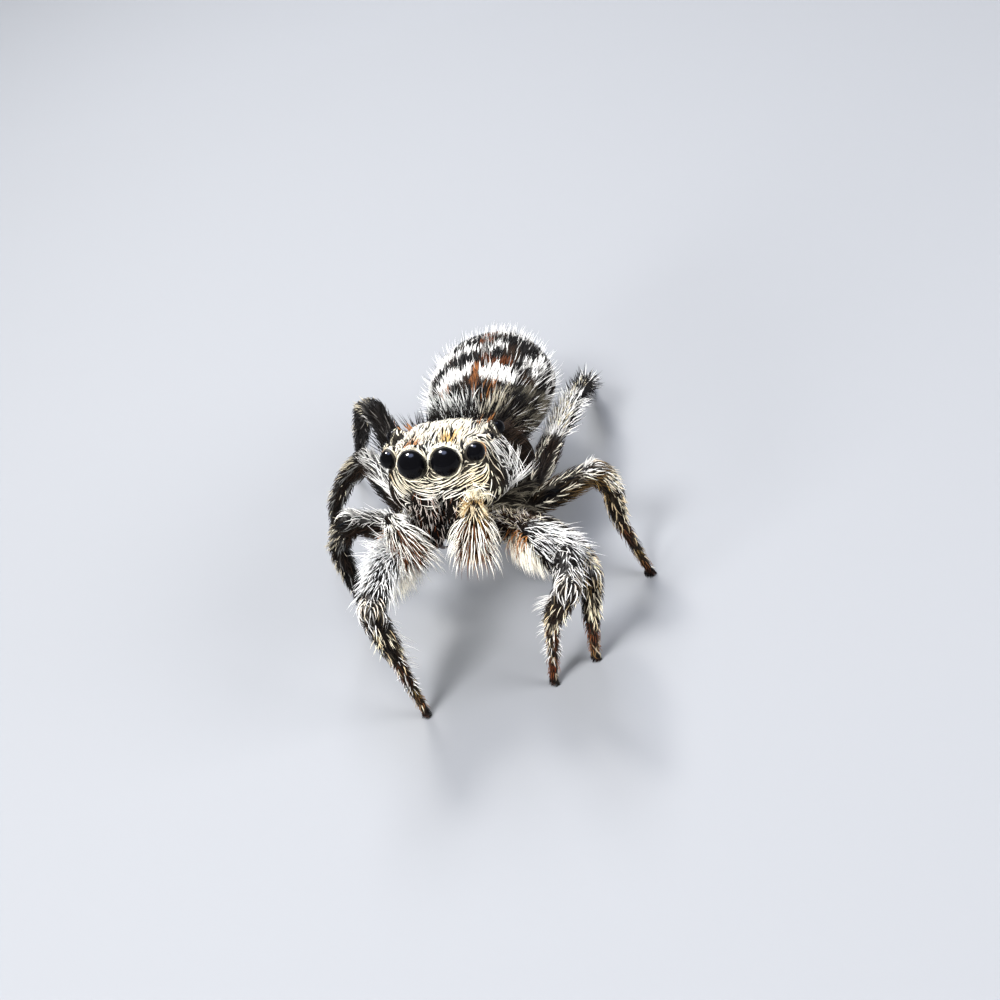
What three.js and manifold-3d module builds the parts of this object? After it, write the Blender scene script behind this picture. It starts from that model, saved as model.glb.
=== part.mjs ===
// A jumping spider, standing alert with its front raised, at life size.
// Millimetres. It faces -Y, its left side is +X, +Z is up, and its feet stand on z = 0.
// Every size is taken at the tips of the coat of hair.
import * as THREE from "three";
import { mergeVertices } from "three/addons/utils/BufferGeometryUtils.js";
import Module from "manifold-3d";

const wasm = await Module();
wasm.setup();

// ---------------------------------------------------------------- driving dimensions

const GAP = 0.03; // clear space between two touching nodes
const EYE_HEIGHT = 5.42; // centre of the front eyes above the floor
const PITCH = 17.5; // nose-up tilt of the head and thorax, degrees

// Eyes in the head's own frame: side, back and up from the midpoint between the front middle pair.
const EYES = {
  AME: { place: [0.405, 0, 0], diameter: 0.72, sides: 12 },
  ALE: { place: [1.06, 0.33, 0.05], diameter: 0.46, sides: 10 },
  PME: { place: [1.31, 0.98, 0.16], diameter: 0.16, sides: 6 },
  PLE: { place: [1.31, 1.66, 0.12], diameter: 0.38, sides: 8 },
};

const CARAPACE = {
  front: -0.1,
  widestAt: 2.3,
  rear: 4.5,
  headHalfWidth: 1.4,
  chestHalfWidth: 1.83,
  brow: 0.44,
  crown: 0.43,
  clypeusEdge: -0.95,
  margin: -1.75,
  rearTop: -0.85,
  flare: 0.32, // how far the cheeks widen towards the lower margin
  slopeStart: 1.7, // where the head's flat top turns down to the thorax
};
// The abdomen narrows towards both ends and is flatter below.
const ABDOMEN_TAPER = { rear: 0.24, front: 0.06, belly: 0.86, fullness: 0.12 };
const STERNUM = { place: [0, 2.1, -2.2], size: [0.8, 1.5, 0.72] };
const PEDICEL = { radius: 0.42, from: [0, 4.0, -1.35], to: [0, 5.3, -1.3] };
const ABDOMEN = { place: [-0.03, 6.16, 2.86], halfSize: [1.94, 2.72, 1.6], pitch: 6 };
const SPINNERETS = {
  place: [-0.03, 8.62, 2.3],
  base: [0.42, 0.42, 0.34], // half thickness of the stump they stand on
  radii: [0.2, 0.19, 0.15],
  upper: 0.55, // lengths of the two pairs
  lower: 0.385,
  spread: 0.2,
  rise: 0.12,
  splay: 0.06,
  fall: 0.188,
};
const CHELICERA = {
  root: [0.46, 0.3, -1.07],
  tip: [0.42, 0.35, -2.01],
  radii: [0.45, 0.45, 0.36],
  tall: 1.02,
};
const FANG = { root: [0.33, 0.42, -2.22], tip: [0.11, 0.58, -2.5], radii: [0.15, 0.13, 0.07] };

// Palps in the head's own frame: root, knee and tip of the brush. The right brush turns inwards.
const PALPS = {
  L: { root: [0.74, 0.62, -2.05], knee: [1.06, -0.62, -1.06], tip: [0.87, -1.02, -2.62] },
  R: { root: [-0.74, 0.62, -2.05], knee: [-1.0, -0.45, -1.2], tip: [-0.2, -1.05, -2.62] },
};
const PALP_RADIUS = { arm: 0.3, knee: 0.34, brush: 0.52 };

// Root of each leg in the head's own frame, from the middle of the coxa to the trochanter's end.
const LEG_ROOTS = {
  1: { coxa: [0.72, 1.12, -2.2], end: [1.33, 0.98, -2.32] },
  2: { coxa: [0.82, 1.78, -2.24], end: [1.58, 1.75, -2.38] },
  3: { coxa: [0.82, 2.48, -2.24], end: [1.6, 2.55, -2.38] },
  4: { coxa: [0.68, 3.08, -2.18], end: [1.4, 3.3, -2.3] },
};
const SEGMENTS = ["femur", "patella", "tibia", "metatarsus", "tarsus"];
const LENGTHS = {
  1: [2.08, 1.36, 1.31, 1.04, 0.76],
  2: [1.86, 1.13, 1.07, 0.95, 0.7],
  3: [2.0, 0.95, 1.08, 1.12, 0.71],
  4: [2.71, 1.15, 1.72, 1.66, 0.82],
};
// Half thickness at the start, middle and end of each segment. The femur and patella are taller than
// wide, and those of the first pair are lowered by the fringe beneath them.
const THICKNESS = {
  1: { femur: [0.4, 0.52, 0.54], patella: [0.54, 0.52, 0.4], tibia: [0.36, 0.36, 0.3] },
  2: { femur: [0.36, 0.42, 0.36], patella: [0.36, 0.36, 0.32], tibia: [0.32, 0.32, 0.28] },
  3: { femur: [0.36, 0.42, 0.36], patella: [0.36, 0.35, 0.31], tibia: [0.31, 0.31, 0.28] },
  4: { femur: [0.38, 0.45, 0.38], patella: [0.38, 0.38, 0.34], tibia: [0.34, 0.35, 0.3] },
};
const FRINGED = { tall: 1.3, drop: 0.12 };
const PLAIN = { tall: 1.1, drop: 0 };
const COXA_THICKNESS = [0.42, 0.4];
const FOOT_THICKNESS = [0.28, 0.26, 0.25];
const FOOT_LIFT = 0.17; // height of the middle of the foot's tip above the floor

// Pose: azimuth (0 sideways, 90 forwards) and elevation of each segment, degrees.
// The last pair is the tarsus, whose elevation follows from the floor.
const POSE = {
  L1: [[38, 10], [81, 2], [200, -62], [179, -71], [192]],
  L2: [[45, 5], [57, -2], [112, -68], [198, -82], [245]],
  L3: [[-3, 34], [-12, -65], [-6, -87], [-1, -86], [45]],
  L4: [[-83, -6], [-77, 2], [-83, -15], [-99, -27], [-101]],
  R1: [[88, 23], [97, -5], [173, -85], [166, -83], [198]],
  R2: [[48, 42], [-16, -62], [-16, -88], [-62, -86], [-64]],
  R3: [[-45, 28], [0, -39], [2, -56], [-29, -65], [-29]],
  R4: [[-51, 47], [-49, -29], [-45, -56], [-45, -58], [-46]],
};

const COLOURS = {
  eye: 0x07080b,
  carapace: 0xb9ab94,
  sternum: 0x4a3f36,
  abdomen: 0x8d857c,
  chelicera: 0x4c3b33,
  fang: 0x2a120b,
  palp: 0xcdbca4,
  coxa: 0x6a5a4b,
  femur: 0xb8b3ab,
  patella: 0xa0937e,
  tibia: 0x6b5639,
  foot: 0x7c5c36,
};

// ---------------------------------------------------------------- solids

const vector = (p) => new THREE.Vector3(...p);
const radians = THREE.MathUtils.degToRad;
const lerp = THREE.MathUtils.lerp;
const smooth = THREE.MathUtils.smoothstep;

// A closed geometry as a solid, turned to face out.
function solidOf(geometry) {
  const bare = geometry.clone();
  bare.deleteAttribute("normal");
  bare.deleteAttribute("uv");
  const merged = mergeVertices(bare, 1e-4);
  const triVerts = new Uint32Array(merged.index.array);
  const vertProperties = merged.attributes.position.array;
  const made = new wasm.Manifold(new wasm.Mesh({ numProp: 3, vertProperties, triVerts }));
  if (made.volume() > 0) return made;
  for (let i = 0; i < triVerts.length; i += 3) {
    [triVerts[i + 1], triVerts[i + 2]] = [triVerts[i + 2], triVerts[i + 1]];
  }
  return new wasm.Manifold(new wasm.Mesh({ numProp: 3, vertProperties, triVerts }));
}

function geometryOf(solid) {
  const mesh = solid.getMesh();
  const geometry = new THREE.BufferGeometry();
  geometry.setAttribute("position", new THREE.BufferAttribute(mesh.vertProperties, 3));
  geometry.setIndex(new THREE.BufferAttribute(mesh.triVerts, 1));
  return geometry;
}

// The largest of the bodies that a cut leaves.
function mainBody(solid) {
  return solid.decompose().sort((a, b) => b.volume() - a.volume())[0];
}

// The head's own frame (side, back, up from the front eyes) as a matrix to the floor's frame.
const HEAD = new THREE.Matrix4()
  .makeTranslation(0, 0, EYE_HEIGHT)
  .multiply(new THREE.Matrix4().makeRotationX(-radians(PITCH)));
const fromHead = (p) => vector(p).applyMatrix4(HEAD);

// Everything on the far side of a plane through a point, as a large box.
function beyond(point, normal) {
  const REACH = 14;
  const box = new THREE.BoxGeometry(REACH, REACH, REACH).translate(0, 0, REACH / 2);
  const turn = new THREE.Quaternion().setFromUnitVectors(new THREE.Vector3(0, 0, 1), normal);
  box.applyQuaternion(turn).translate(...point.toArray());
  return solidOf(box);
}

// A round-ended limb from one point to another. radii holds the half thickness at its start,
// middle and end; tall stretches it across the length, in the upright plane, and drop lowers it there.
function limb(from, to, radii, { tall = 1, drop = 0, sides = 8, rings = 3, grow = 0 } = {}) {
  const CAP_STEPS = 2;
  const STEEP = 0.95;
  const length = from.distanceTo(to);
  const [start, middle, end] = radii.map((r) => r + grow);
  const profile = [new THREE.Vector2(0, -start)];
  for (let i = 1; i <= CAP_STEPS; i += 1) {
    const a = (i / (CAP_STEPS + 1)) * (Math.PI / 2);
    profile.push(new THREE.Vector2(start * Math.sin(a), -start * Math.cos(a)));
  }
  for (let i = 0; i <= rings; i += 1) {
    const t = i / rings;
    const straight = lerp(start, end, t);
    const swell = middle - (start + end) / 2;
    profile.push(new THREE.Vector2(straight + swell * Math.sin(Math.PI * t), length * t));
  }
  for (let i = CAP_STEPS; i >= 1; i -= 1) {
    const a = (i / (CAP_STEPS + 1)) * (Math.PI / 2);
    profile.push(new THREE.Vector2(end * Math.sin(a), length + end * Math.cos(a)));
  }
  profile.push(new THREE.Vector2(0, length + end));
  const along = to.clone().sub(from).normalize();
  const upright = Math.abs(along.z) > STEEP ? new THREE.Vector3(0, -1, 0) : new THREE.Vector3(0, 0, 1);
  const across = new THREE.Vector3().crossVectors(along, upright).normalize();
  const rise = new THREE.Vector3().crossVectors(across, along).normalize();
  const geometry = new THREE.LatheGeometry(profile, sides);
  geometry.scale(1, 1, tall).translate(0, 0, -drop);
  geometry.applyMatrix4(new THREE.Matrix4().makeBasis(across, along, rise).setPosition(from));
  return solidOf(geometry);
}

// A sphere with its poles on the Y axis, its unit vertices moved by a function.
function blob(columns, rows, move) {
  const geometry = new THREE.SphereGeometry(1, columns, rows);
  const place = geometry.attributes.position;
  const v = new THREE.Vector3();
  for (let i = 0; i < place.count; i += 1) {
    v.fromBufferAttribute(place, i);
    const moved = move(v.x, v.y, v.z);
    place.setXYZ(i, moved.x, moved.y, moved.z);
  }
  return geometry;
}

const power = (v, p) => Math.sign(v) * Math.abs(v) ** p;

function carapace(grow = 0) {
  const c = CARAPACE;
  const BLUNT = { front: 0.52, rear: 0.85 };
  const BOXY = { above: 0.8, below: 0.42 };
  const CHEST_BEGINS = 1.1;
  const CHEST_FULL = 3.0;
  const SLOPE_CURVE = 1.4;
  const MIDDLE_FRONT = -0.25;
  const MIDDLE_REAR = -1.25;
  const geometry = blob(22, 14, (x, y, z) => {
    const ring = Math.sqrt(Math.max(0, 1 - y * y));
    const blunt = y < 0 ? BLUNT.front : BLUNT.rear;
    const reach = power(y, blunt);
    const back = y < 0 ? lerp(c.widestAt, c.front - grow, -reach) : lerp(c.widestAt, c.rear + grow, reach);
    const fill = ring ** blunt;
    const angle = Math.atan2(z, x);
    const chest = smooth(back, CHEST_BEGINS, CHEST_FULL);
    const halfWidth = lerp(c.headHalfWidth, c.chestHalfWidth, chest) + grow;
    const slope = Math.max(0, (back - c.slopeStart) / (c.rear - c.slopeStart)) ** SLOPE_CURVE;
    const top = lerp(lerp(c.brow, c.crown, smooth(back, 0, 1.5)), c.rearTop, slope) + grow;
    const bottom = lerp(c.clypeusEdge, c.margin, smooth(back, -0.05, 0.9)) - grow;
    const middle = lerp(MIDDLE_FRONT, MIDDLE_REAR, smooth(back, 0.2, 3.6));
    const lift = power(Math.sin(angle), BOXY.above) * fill;
    const up = middle + (lift > 0 ? top - middle : middle - bottom) * lift;
    const cheek = smooth(-up, 0.1, 1.5) * smooth(back, -0.1, 0.8) * (1 - smooth(back, 1.8, 3.4));
    const boxy = lift > 0 ? BOXY.above : BOXY.below;
    const side = (halfWidth + c.flare * cheek) * power(Math.cos(angle), boxy) * fill;
    return new THREE.Vector3(side, back, up);
  });
  return solidOf(geometry.applyMatrix4(HEAD));
}

// The abdomen, with the narrow stalk that joins it to the chest.
function abdomen(grow = 0) {
  const a = ABDOMEN;
  const geometry = blob(22, 14, (x, y, z) => {
    const t = ABDOMEN_TAPER;
    const taper = 1 - t.rear * smooth(y, 0.1, 1) - t.front * smooth(-y, 0.4, 1);
    const belly = z < 0 ? t.belly : 1;
    const fullness = Math.sqrt(Math.max(1e-9, 1 - y * y)) ** -t.fullness;
    return new THREE.Vector3(
      x * taper * fullness * (a.halfSize[0] + grow),
      y * (a.halfSize[1] + grow),
      z * belly * taper * fullness * (a.halfSize[2] + grow),
    );
  });
  geometry.rotateX(-radians(a.pitch)).translate(...a.place);
  const { radius, from, to } = PEDICEL;
  const stalk = limb(fromHead(from), fromHead(to), [radius, radius, radius], { rings: 1, grow });
  return solidOf(geometry).add(stalk);
}

function sternum(grow = 0) {
  const [side, back, up] = STERNUM.size.map((s) => s + grow);
  const geometry = new THREE.SphereGeometry(1, 12, 8);
  geometry.scale(side, back, up).translate(...STERNUM.place).applyMatrix4(HEAD);
  return solidOf(geometry);
}

function spinnerets(grow = 0) {
  const s = SPINNERETS;
  const BASE_LENGTH = 0.25;
  const end = vector(s.place);
  const root = end.clone().add(new THREE.Vector3(0, -BASE_LENGTH, 0));
  let joined = limb(root, end, s.base, { rings: 1, grow });
  for (const side of [-1, 1]) {
    for (const [rise, length] of [[s.rise, s.upper], [-s.rise, s.lower]]) {
      const from = end.clone().add(new THREE.Vector3(side * s.spread, 0, rise));
      const tip = from.clone().add(new THREE.Vector3(side * s.splay, length, -s.fall));
      joined = joined.add(limb(from, tip, s.radii, { sides: 6, rings: 1, grow }));
    }
  }
  return joined;
}

function eye(kind, sign, grow = 0) {
  const { place, diameter, sides } = EYES[kind];
  const [side, back, up] = place;
  const geometry = new THREE.SphereGeometry(diameter / 2 + grow, sides, Math.round(sides * 0.7));
  geometry.translate(sign * side, back, up).applyMatrix4(HEAD);
  return solidOf(geometry);
}

// A jaw or fang: a limb between two points of the head's own frame, on one side of it.
function onSide({ root, tip, radii }, sign, shape) {
  const [from, to] = [root, tip].map(([x, y, z]) => fromHead([sign * x, y, z]));
  return limb(from, to, radii, shape);
}

const chelicera = (sign, grow = 0) => onSide(CHELICERA, sign, { tall: CHELICERA.tall, sides: 10, grow });
const fang = (sign, grow = 0) => onSide(FANG, sign, { sides: 6, rings: 2, grow });

function palpArm(side, grow = 0) {
  const p = PALPS[side];
  const { arm, knee } = PALP_RADIUS;
  return limb(fromHead(p.root), fromHead(p.knee), [arm, arm, knee], { grow });
}

function palpBrush(side, grow = 0) {
  const p = PALPS[side];
  const { knee, brush } = PALP_RADIUS;
  const from = fromHead(p.knee);
  const tip = fromHead(p.tip);
  const end = tip.clone().lerp(from, brush / tip.distanceTo(from));
  return limb(from, end, [knee, (knee + brush) / 2, brush], { sides: 10, grow });
}

// ---------------------------------------------------------------- legs

// The points where a leg's segments meet, from the middle of the coxa to the foot's tip.
function legPoints(name) {
  const sign = name[0] === "L" ? 1 : -1;
  const number = name[1];
  const root = LEG_ROOTS[number];
  const mirrored = ([x, y, z]) => [sign * x, y, z];
  const points = [fromHead(mirrored(root.coxa)), fromHead(mirrored(root.end))];
  SEGMENTS.forEach((segment, i) => {
    const last = points[points.length - 1];
    const length = LENGTHS[number][i];
    const azimuth = radians(POSE[name][i][0]);
    let elevation = radians(POSE[name][i][1] ?? 0);
    if (segment === "tarsus") {
      elevation = -Math.asin(Math.min(0.99, (last.z - FOOT_LIFT) / length));
    }
    const flat = Math.cos(elevation) * length;
    points.push(
      last.clone().add(
        new THREE.Vector3(
          sign * Math.cos(azimuth) * flat,
          -Math.sin(azimuth) * flat,
          Math.sin(elevation) * length,
        ),
      ),
    );
  });
  const tip = points[points.length - 1];
  tip.z = FOOT_LIFT;
  return points;
}

// One leg as uncut limbs, each with the planes that part it from its neighbours.
function legParts(name) {
  const points = legPoints(name);
  const number = name[1];
  const t = THICKNESS[number];
  const { tall, drop } = number === "1" ? FRINGED : PLAIN;
  const links = [
    { node: "coxa", ends: [0, 1], radii: [...COXA_THICKNESS, t.femur[0]], rings: 1, sides: 7 },
    { node: "femur", ends: [1, 2], radii: t.femur, tall, drop, rings: 2 },
    { node: "patella", ends: [2, 3], radii: t.patella, tall, drop, rings: 2 },
    { node: "tibia", ends: [3, 4], radii: t.tibia, rings: 1 },
    { node: "foot", ends: [4, 6], radii: FOOT_THICKNESS, rings: 1 },
  ];
  return links.map(({ node, ends, radii, ...shape }) => {
    const [from, to] = ends.map((i) => points[i]);
    return { name: `${node}_${name}`, node, from, to, radii, shape };
  });
}

// The solids of one leg, cut flush at each joint and at the floor.
function legSolids(name) {
  const parts = legParts(name);
  return parts.map((part, i) => {
    const along = part.to.clone().sub(part.from).normalize();
    const make = (grow = 0) => limb(part.from, part.to, part.radii, { ...part.shape, grow });
    let solid = make();
    const planes = [];
    if (i > 0) {
      const before = parts[i - 1];
      const joint = before.to.clone().sub(before.from).normalize().add(along).normalize();
      planes.push([part.from.clone().addScaledVector(joint, GAP / 2), joint.negate()]);
    }
    if (i < parts.length - 1) {
      const after = parts[i + 1];
      const joint = after.to.clone().sub(after.from).normalize().add(along).normalize();
      planes.push([part.to.clone().addScaledVector(joint, -GAP / 2), joint]);
    }
    planes.push([new THREE.Vector3(part.to.x, part.to.y, 0), new THREE.Vector3(0, 0, -1)]);
    for (const [point, normal] of planes) {
      solid = solid.subtract(beyond(point, normal));
    }
    return { name: part.name, kind: part.node, solid, make, leg: name, link: i };
  });
}

// ---------------------------------------------------------------- assembly

const pieces = [];
const put = (name, kind, make, more = {}) => {
  pieces.push({ name, kind, make, solid: make(0), ...more });
};

for (const kind of Object.keys(EYES)) {
  put(`eye_${kind}_L`, "eye", (grow) => eye(kind, 1, grow));
  put(`eye_${kind}_R`, "eye", (grow) => eye(kind, -1, grow));
}
put("carapace", "carapace", carapace);
for (const [side, sign] of [["L", 1], ["R", -1]]) {
  put(`chelicera_${side}`, "chelicera", (grow) => chelicera(sign, grow));
}
for (const [side, sign] of [["L", 1], ["R", -1]]) {
  put(`fang_${side}`, "fang", (grow) => fang(sign, grow));
}
put("sternum", "sternum", sternum);
const legNames = Object.keys(POSE);
const legs = legNames.map(legSolids);
pieces.push(...legs.map((links) => links[0]));
for (const side of ["L", "R"]) {
  put(`palp_arm_${side}`, "palp", (grow) => palpArm(side, grow), { leg: `palp${side}`, link: 0 });
  put(`palp_brush_${side}`, "palp", (grow) => palpBrush(side, grow), { leg: `palp${side}`, link: 1 });
}
for (const links of legs) {
  pieces.push(...links.slice(1));
}
put("abdomen", "abdomen", abdomen);
put("spinnerets", "abdomen", spinnerets);

// The two palp pieces part at the knee, as the leg's segments do.
for (const side of ["L", "R"]) {
  const p = PALPS[side];
  const [root, knee, tip] = [p.root, p.knee, p.tip].map(fromHead);
  const joint = knee.clone().sub(root).normalize().add(tip.sub(knee).normalize()).normalize();
  const arm = pieces.find((piece) => piece.name === `palp_arm_${side}`);
  const brush = pieces.find((piece) => piece.name === `palp_brush_${side}`);
  const half = joint.clone().multiplyScalar(GAP / 2);
  arm.solid = arm.solid.subtract(beyond(knee.clone().sub(half), joint));
  brush.solid = brush.solid.subtract(beyond(knee.clone().add(half), joint.clone().negate()));
}

function boxesMeet(a, b) {
  const p = a.boundingBox();
  const q = b.boundingBox();
  return [0, 1, 2].every((i) => p.min[i] < q.max[i] && q.min[i] < p.max[i]);
}

// Links of one limb that meet at a joint are parted by its plane already.
const hinged = (a, b) => a.leg !== undefined && a.leg === b.leg && Math.abs(a.link - b.link) === 1;

const CLEAR = 1e-9;
const finished = [];
for (const piece of pieces) {
  let solid = piece.solid;
  for (const earlier of finished) {
    if (hinged(piece, earlier)) continue;
    const cutter = earlier.make(GAP);
    if (!boxesMeet(solid, cutter)) continue;
    if (solid.intersect(cutter).volume() < CLEAR) continue;
    solid = mainBody(solid.subtract(cutter));
  }
  finished.push({ ...piece, solid });
}

const spider = new THREE.Group();
const materials = Object.fromEntries(
  Object.entries(COLOURS).map(([kind, color]) => [
    kind,
    { color, roughness: kind === "eye" || kind === "fang" ? 0.12 : 0.85, metalness: 0 },
  ]),
);
for (const { name, kind, solid } of finished) {
  const mesh = new THREE.Mesh(geometryOf(solid), new THREE.MeshStandardMaterial(materials[kind]));
  mesh.name = name;
  spider.add(mesh);
}

// The origin is the middle of the box's foot.
const box = new THREE.Box3().setFromObject(spider);
const middle = box.getCenter(new THREE.Vector3());
spider.position.set(-middle.x, -middle.y, 0);

export default spider;
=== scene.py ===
"""A jumping spider at life size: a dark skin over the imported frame, and a coat of solid hairs on it."""
import math

import bpy
import numpy as np
from mathutils import Matrix, Vector
from mathutils.bvhtree import BVHTree
from mathutils.kdtree import KDTree


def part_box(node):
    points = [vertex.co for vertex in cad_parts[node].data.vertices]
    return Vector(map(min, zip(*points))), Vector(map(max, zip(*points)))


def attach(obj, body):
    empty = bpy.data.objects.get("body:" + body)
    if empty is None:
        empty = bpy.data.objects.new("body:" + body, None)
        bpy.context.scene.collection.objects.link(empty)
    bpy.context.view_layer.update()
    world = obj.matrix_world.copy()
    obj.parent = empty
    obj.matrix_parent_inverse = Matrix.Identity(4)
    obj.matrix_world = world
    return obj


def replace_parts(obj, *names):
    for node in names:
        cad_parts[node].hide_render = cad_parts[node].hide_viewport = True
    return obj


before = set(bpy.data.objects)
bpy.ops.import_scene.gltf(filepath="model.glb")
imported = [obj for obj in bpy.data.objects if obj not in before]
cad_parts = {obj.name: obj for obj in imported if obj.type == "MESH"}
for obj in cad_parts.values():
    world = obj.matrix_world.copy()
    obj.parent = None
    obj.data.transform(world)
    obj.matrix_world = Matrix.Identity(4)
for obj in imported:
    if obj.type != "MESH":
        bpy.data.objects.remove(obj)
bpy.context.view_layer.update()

# Every length below is in millimetres; meshes are scaled to metres as they are made.
MM = 0.001
rng = np.random.default_rng(20627)

# ---------------------------------------------------------------- colours, linear

CREAM = np.array([0.97, 0.88, 0.68])
WHITE = np.array([0.98, 0.97, 0.95])
FROST = np.array([0.86, 0.90, 0.97])
GREY = np.array([0.50, 0.51, 0.50])
GOLD = np.array([0.68, 0.45, 0.17])
ORANGE = np.array([0.62, 0.26, 0.08])
RUST = np.array([0.13, 0.042, 0.015])
BROWN = np.array([0.034, 0.020, 0.012])
BLACK = np.array([0.0055, 0.0048, 0.0045])
SKIN_BASE = np.array([0.006, 0.005, 0.0045])
SOOT = BLACK * 1.5
SKIN_SHARE = 0.03  # of the coat's colour that shows on the skin under it
FROSTED = WHITE + (FROST - WHITE) * 0.5

# ---------------------------------------------------------------- small helpers


def unit(v):
    return v / np.maximum(np.linalg.norm(v, axis=-1, keepdims=True), 1e-12)


def smooth(v, low, high):
    t = np.clip((v - low) / (high - low), 0.0, 1.0)
    return t * t * (3 - 2 * t)


def mix(a, b, t):
    return a + (b - a) * t


def mixed(a, b, t):
    """Colours or directions blended by an array of weights, one row a weight."""
    return a + (b - a) * t[:, None]


def wobble(p, scale, seed):
    """Smooth noise from -1 to 1 at points, as a sum of a few sine waves."""
    waves = np.random.default_rng(seed)
    total = np.zeros(len(p))
    for _ in range(6):
        k = waves.normal(size=3) * scale
        total += np.sin(p @ k + waves.uniform(0, 2 * np.pi))
    return total / 3.0


def near(v, centre, width):
    return np.exp(-(((v - centre) / width) ** 2))


def points_of(node):
    """The corners of a CAD node, in millimetres."""
    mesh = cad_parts[node].data
    flat = np.empty(len(mesh.vertices) * 3)
    mesh.vertices.foreach_get("co", flat)
    return np.unique(np.round(flat.reshape(-1, 3) / MM, 4), axis=0)


def box_mm(node):
    """The low and high corners of a CAD node's box, in millimetres."""
    return tuple(np.array(corner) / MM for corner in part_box(node))


def box_centre(node):
    low, high = box_mm(node)
    return (low + high) / 2


TOUCH = 0.12  # corners of neighbouring nodes that are this close belong to their joint


def facing_side(a, b):
    """The middle of a's corners that lie close to b."""
    pa, pb = points_of(a), points_of(b)
    gap = np.linalg.norm(pa[:, None, :] - pb[None, :, :], axis=2).min(axis=1)
    return pa[gap < max(TOUCH, gap.min() + 0.02)].mean(axis=0)


def joint(a, b):
    """Where two neighbouring nodes meet."""
    return (facing_side(a, b) + facing_side(b, a)) / 2


def farthest(points, spot, count):
    """The middle of the points that lie farthest from a spot."""
    return points[np.argsort(np.linalg.norm(points - spot, axis=1))[-count:]].mean(axis=0)


# ---------------------------------------------------------------- the head's own frame

PITCH = math.radians(17.5)
SIDE = np.array([1.0, 0.0, 0.0])
BACK = np.array([0.0, math.cos(PITCH), -math.sin(PITCH)])
UP = np.array([0.0, math.sin(PITCH), math.cos(PITCH)])
HEAD_AXES = np.array([SIDE, BACK, UP])
FRONT_EYES = (box_centre("eye_AME_L") + box_centre("eye_AME_R")) / 2


def from_head(p):
    p = np.asarray(p, float)
    return FRONT_EYES + p[..., :1] * SIDE + p[..., 1:2] * BACK + p[..., 2:3] * UP


def to_head(p):
    d = p - FRONT_EYES
    return d @ SIDE, d @ BACK, d @ UP


# Radius and gaze (side, back, up) of each eye.
EYES = {
    "AME": (0.36, (0.10, -1.0, 0.0)),
    "ALE": (0.235, (0.50, -0.85, 0.05)),
    "PME": (0.085, (0.95, -0.10, 0.25)),
    "PLE": (0.19, (0.93, 0.15, 0.33)),
}


def eye_facts():
    """The middle, radius and gaze of each eye, by kind and side."""
    facts = {}
    for kind, (radius, (aside, back, up)) in EYES.items():
        for side, sign in (("L", 1), ("R", -1)):
            look = unit(sign * aside * SIDE + back * BACK + up * UP)
            facts[f"{kind}_{side}"] = (box_centre(f"eye_{kind}_{side}"), radius, look)
    return facts


EYE_FACTS = eye_facts()

# ---------------------------------------------------------------- shapes under the coat


def sphere_grid(columns, rows):
    """A unit sphere with its poles on Y: corners, then faces."""
    points = [(0.0, -1.0, 0.0)]
    for i in range(1, rows):
        lat = -math.pi / 2 + math.pi * i / rows
        for j in range(columns):
            lon = 2 * math.pi * j / columns
            points.append((math.cos(lat) * math.cos(lon), math.sin(lat), math.cos(lat) * math.sin(lon)))
    points.append((0.0, 1.0, 0.0))
    last = len(points) - 1
    faces = []
    for j in range(columns):
        k = (j + 1) % columns
        faces.append((0, 1 + j, 1 + k))
        top = 1 + (rows - 2) * columns
        faces.append((top + k, top + j, last))
        for i in range(rows - 2):
            a, b = 1 + i * columns, 1 + (i + 1) * columns
            faces.append((a + j, b + j, b + k, a + k))
    return np.array(points), faces


def ball(centre, radius):
    points, faces = sphere_grid(28, 18)
    return points * radius + centre, faces


def power(v, p):
    """v raised to p with its sign kept."""
    return np.sign(v) * np.abs(v) ** p


CARAPACE_COAT = 0.1  # the depth of the coat over its flesh


def carapace_shape():
    """The head and thorax: flat boxy head, sloping thorax, lower edge over the jaws and coxae."""
    coat = CARAPACE_COAT
    front, slope_start, widest, rear = -0.1, 1.7, 2.3, 4.5
    points, faces = sphere_grid(120, 90)
    x, y, z = points.T
    ring = np.sqrt(np.maximum(0, 1 - y * y))
    blunt = np.where(y < 0, 0.52, 0.85)
    reach = power(y, blunt)
    back = np.where(y < 0, mix(widest, front + coat, -reach), mix(widest, rear - coat, reach))
    fill = ring**blunt
    angle = np.arctan2(z, x)
    half = mix(1.4, 1.83, smooth(back, 1.1, 3.0)) - coat
    slope = np.maximum(0, (back - slope_start) / (rear - slope_start)) ** 1.4
    top = mix(mix(0.44, 0.43, smooth(back, 0, 1.5)), -0.85, slope) - coat
    bottom = mix(-0.95, -1.75, smooth(back, -0.05, 0.9)) + coat
    middle = mix(-0.25, -1.25, smooth(back, 0.2, 3.6))
    lift = power(np.sin(angle), 0.8) * fill
    up = middle + np.where(lift > 0, top - middle, middle - bottom) * lift
    cheek = smooth(-up, 0.1, 1.5) * smooth(back, -0.1, 0.8) * (1 - smooth(back, 1.8, 3.4))
    boxy = np.where(lift > 0, 0.8, 0.42)
    side = (half + 0.32 * cheek) * np.sign(np.cos(angle)) * np.abs(np.cos(angle)) ** boxy * fill
    return from_head(np.stack([side, back, up], 1)), faces


ABDOMEN_COAT = 0.28
ABDOMEN_HALF = np.array([1.94, 2.72, 1.6])  # half its width, length and height, out to the coat's tips
ABDOMEN_PITCH = math.radians(6)
ABDOMEN_REACH = np.array([2.705, 1.61])  # from its middle to the back and to the top of its box


def abdomen_middle():
    low, high = box_mm("abdomen")
    return np.array([(low[0] + high[0]) / 2, *(high[1:] - ABDOMEN_REACH)])


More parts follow.
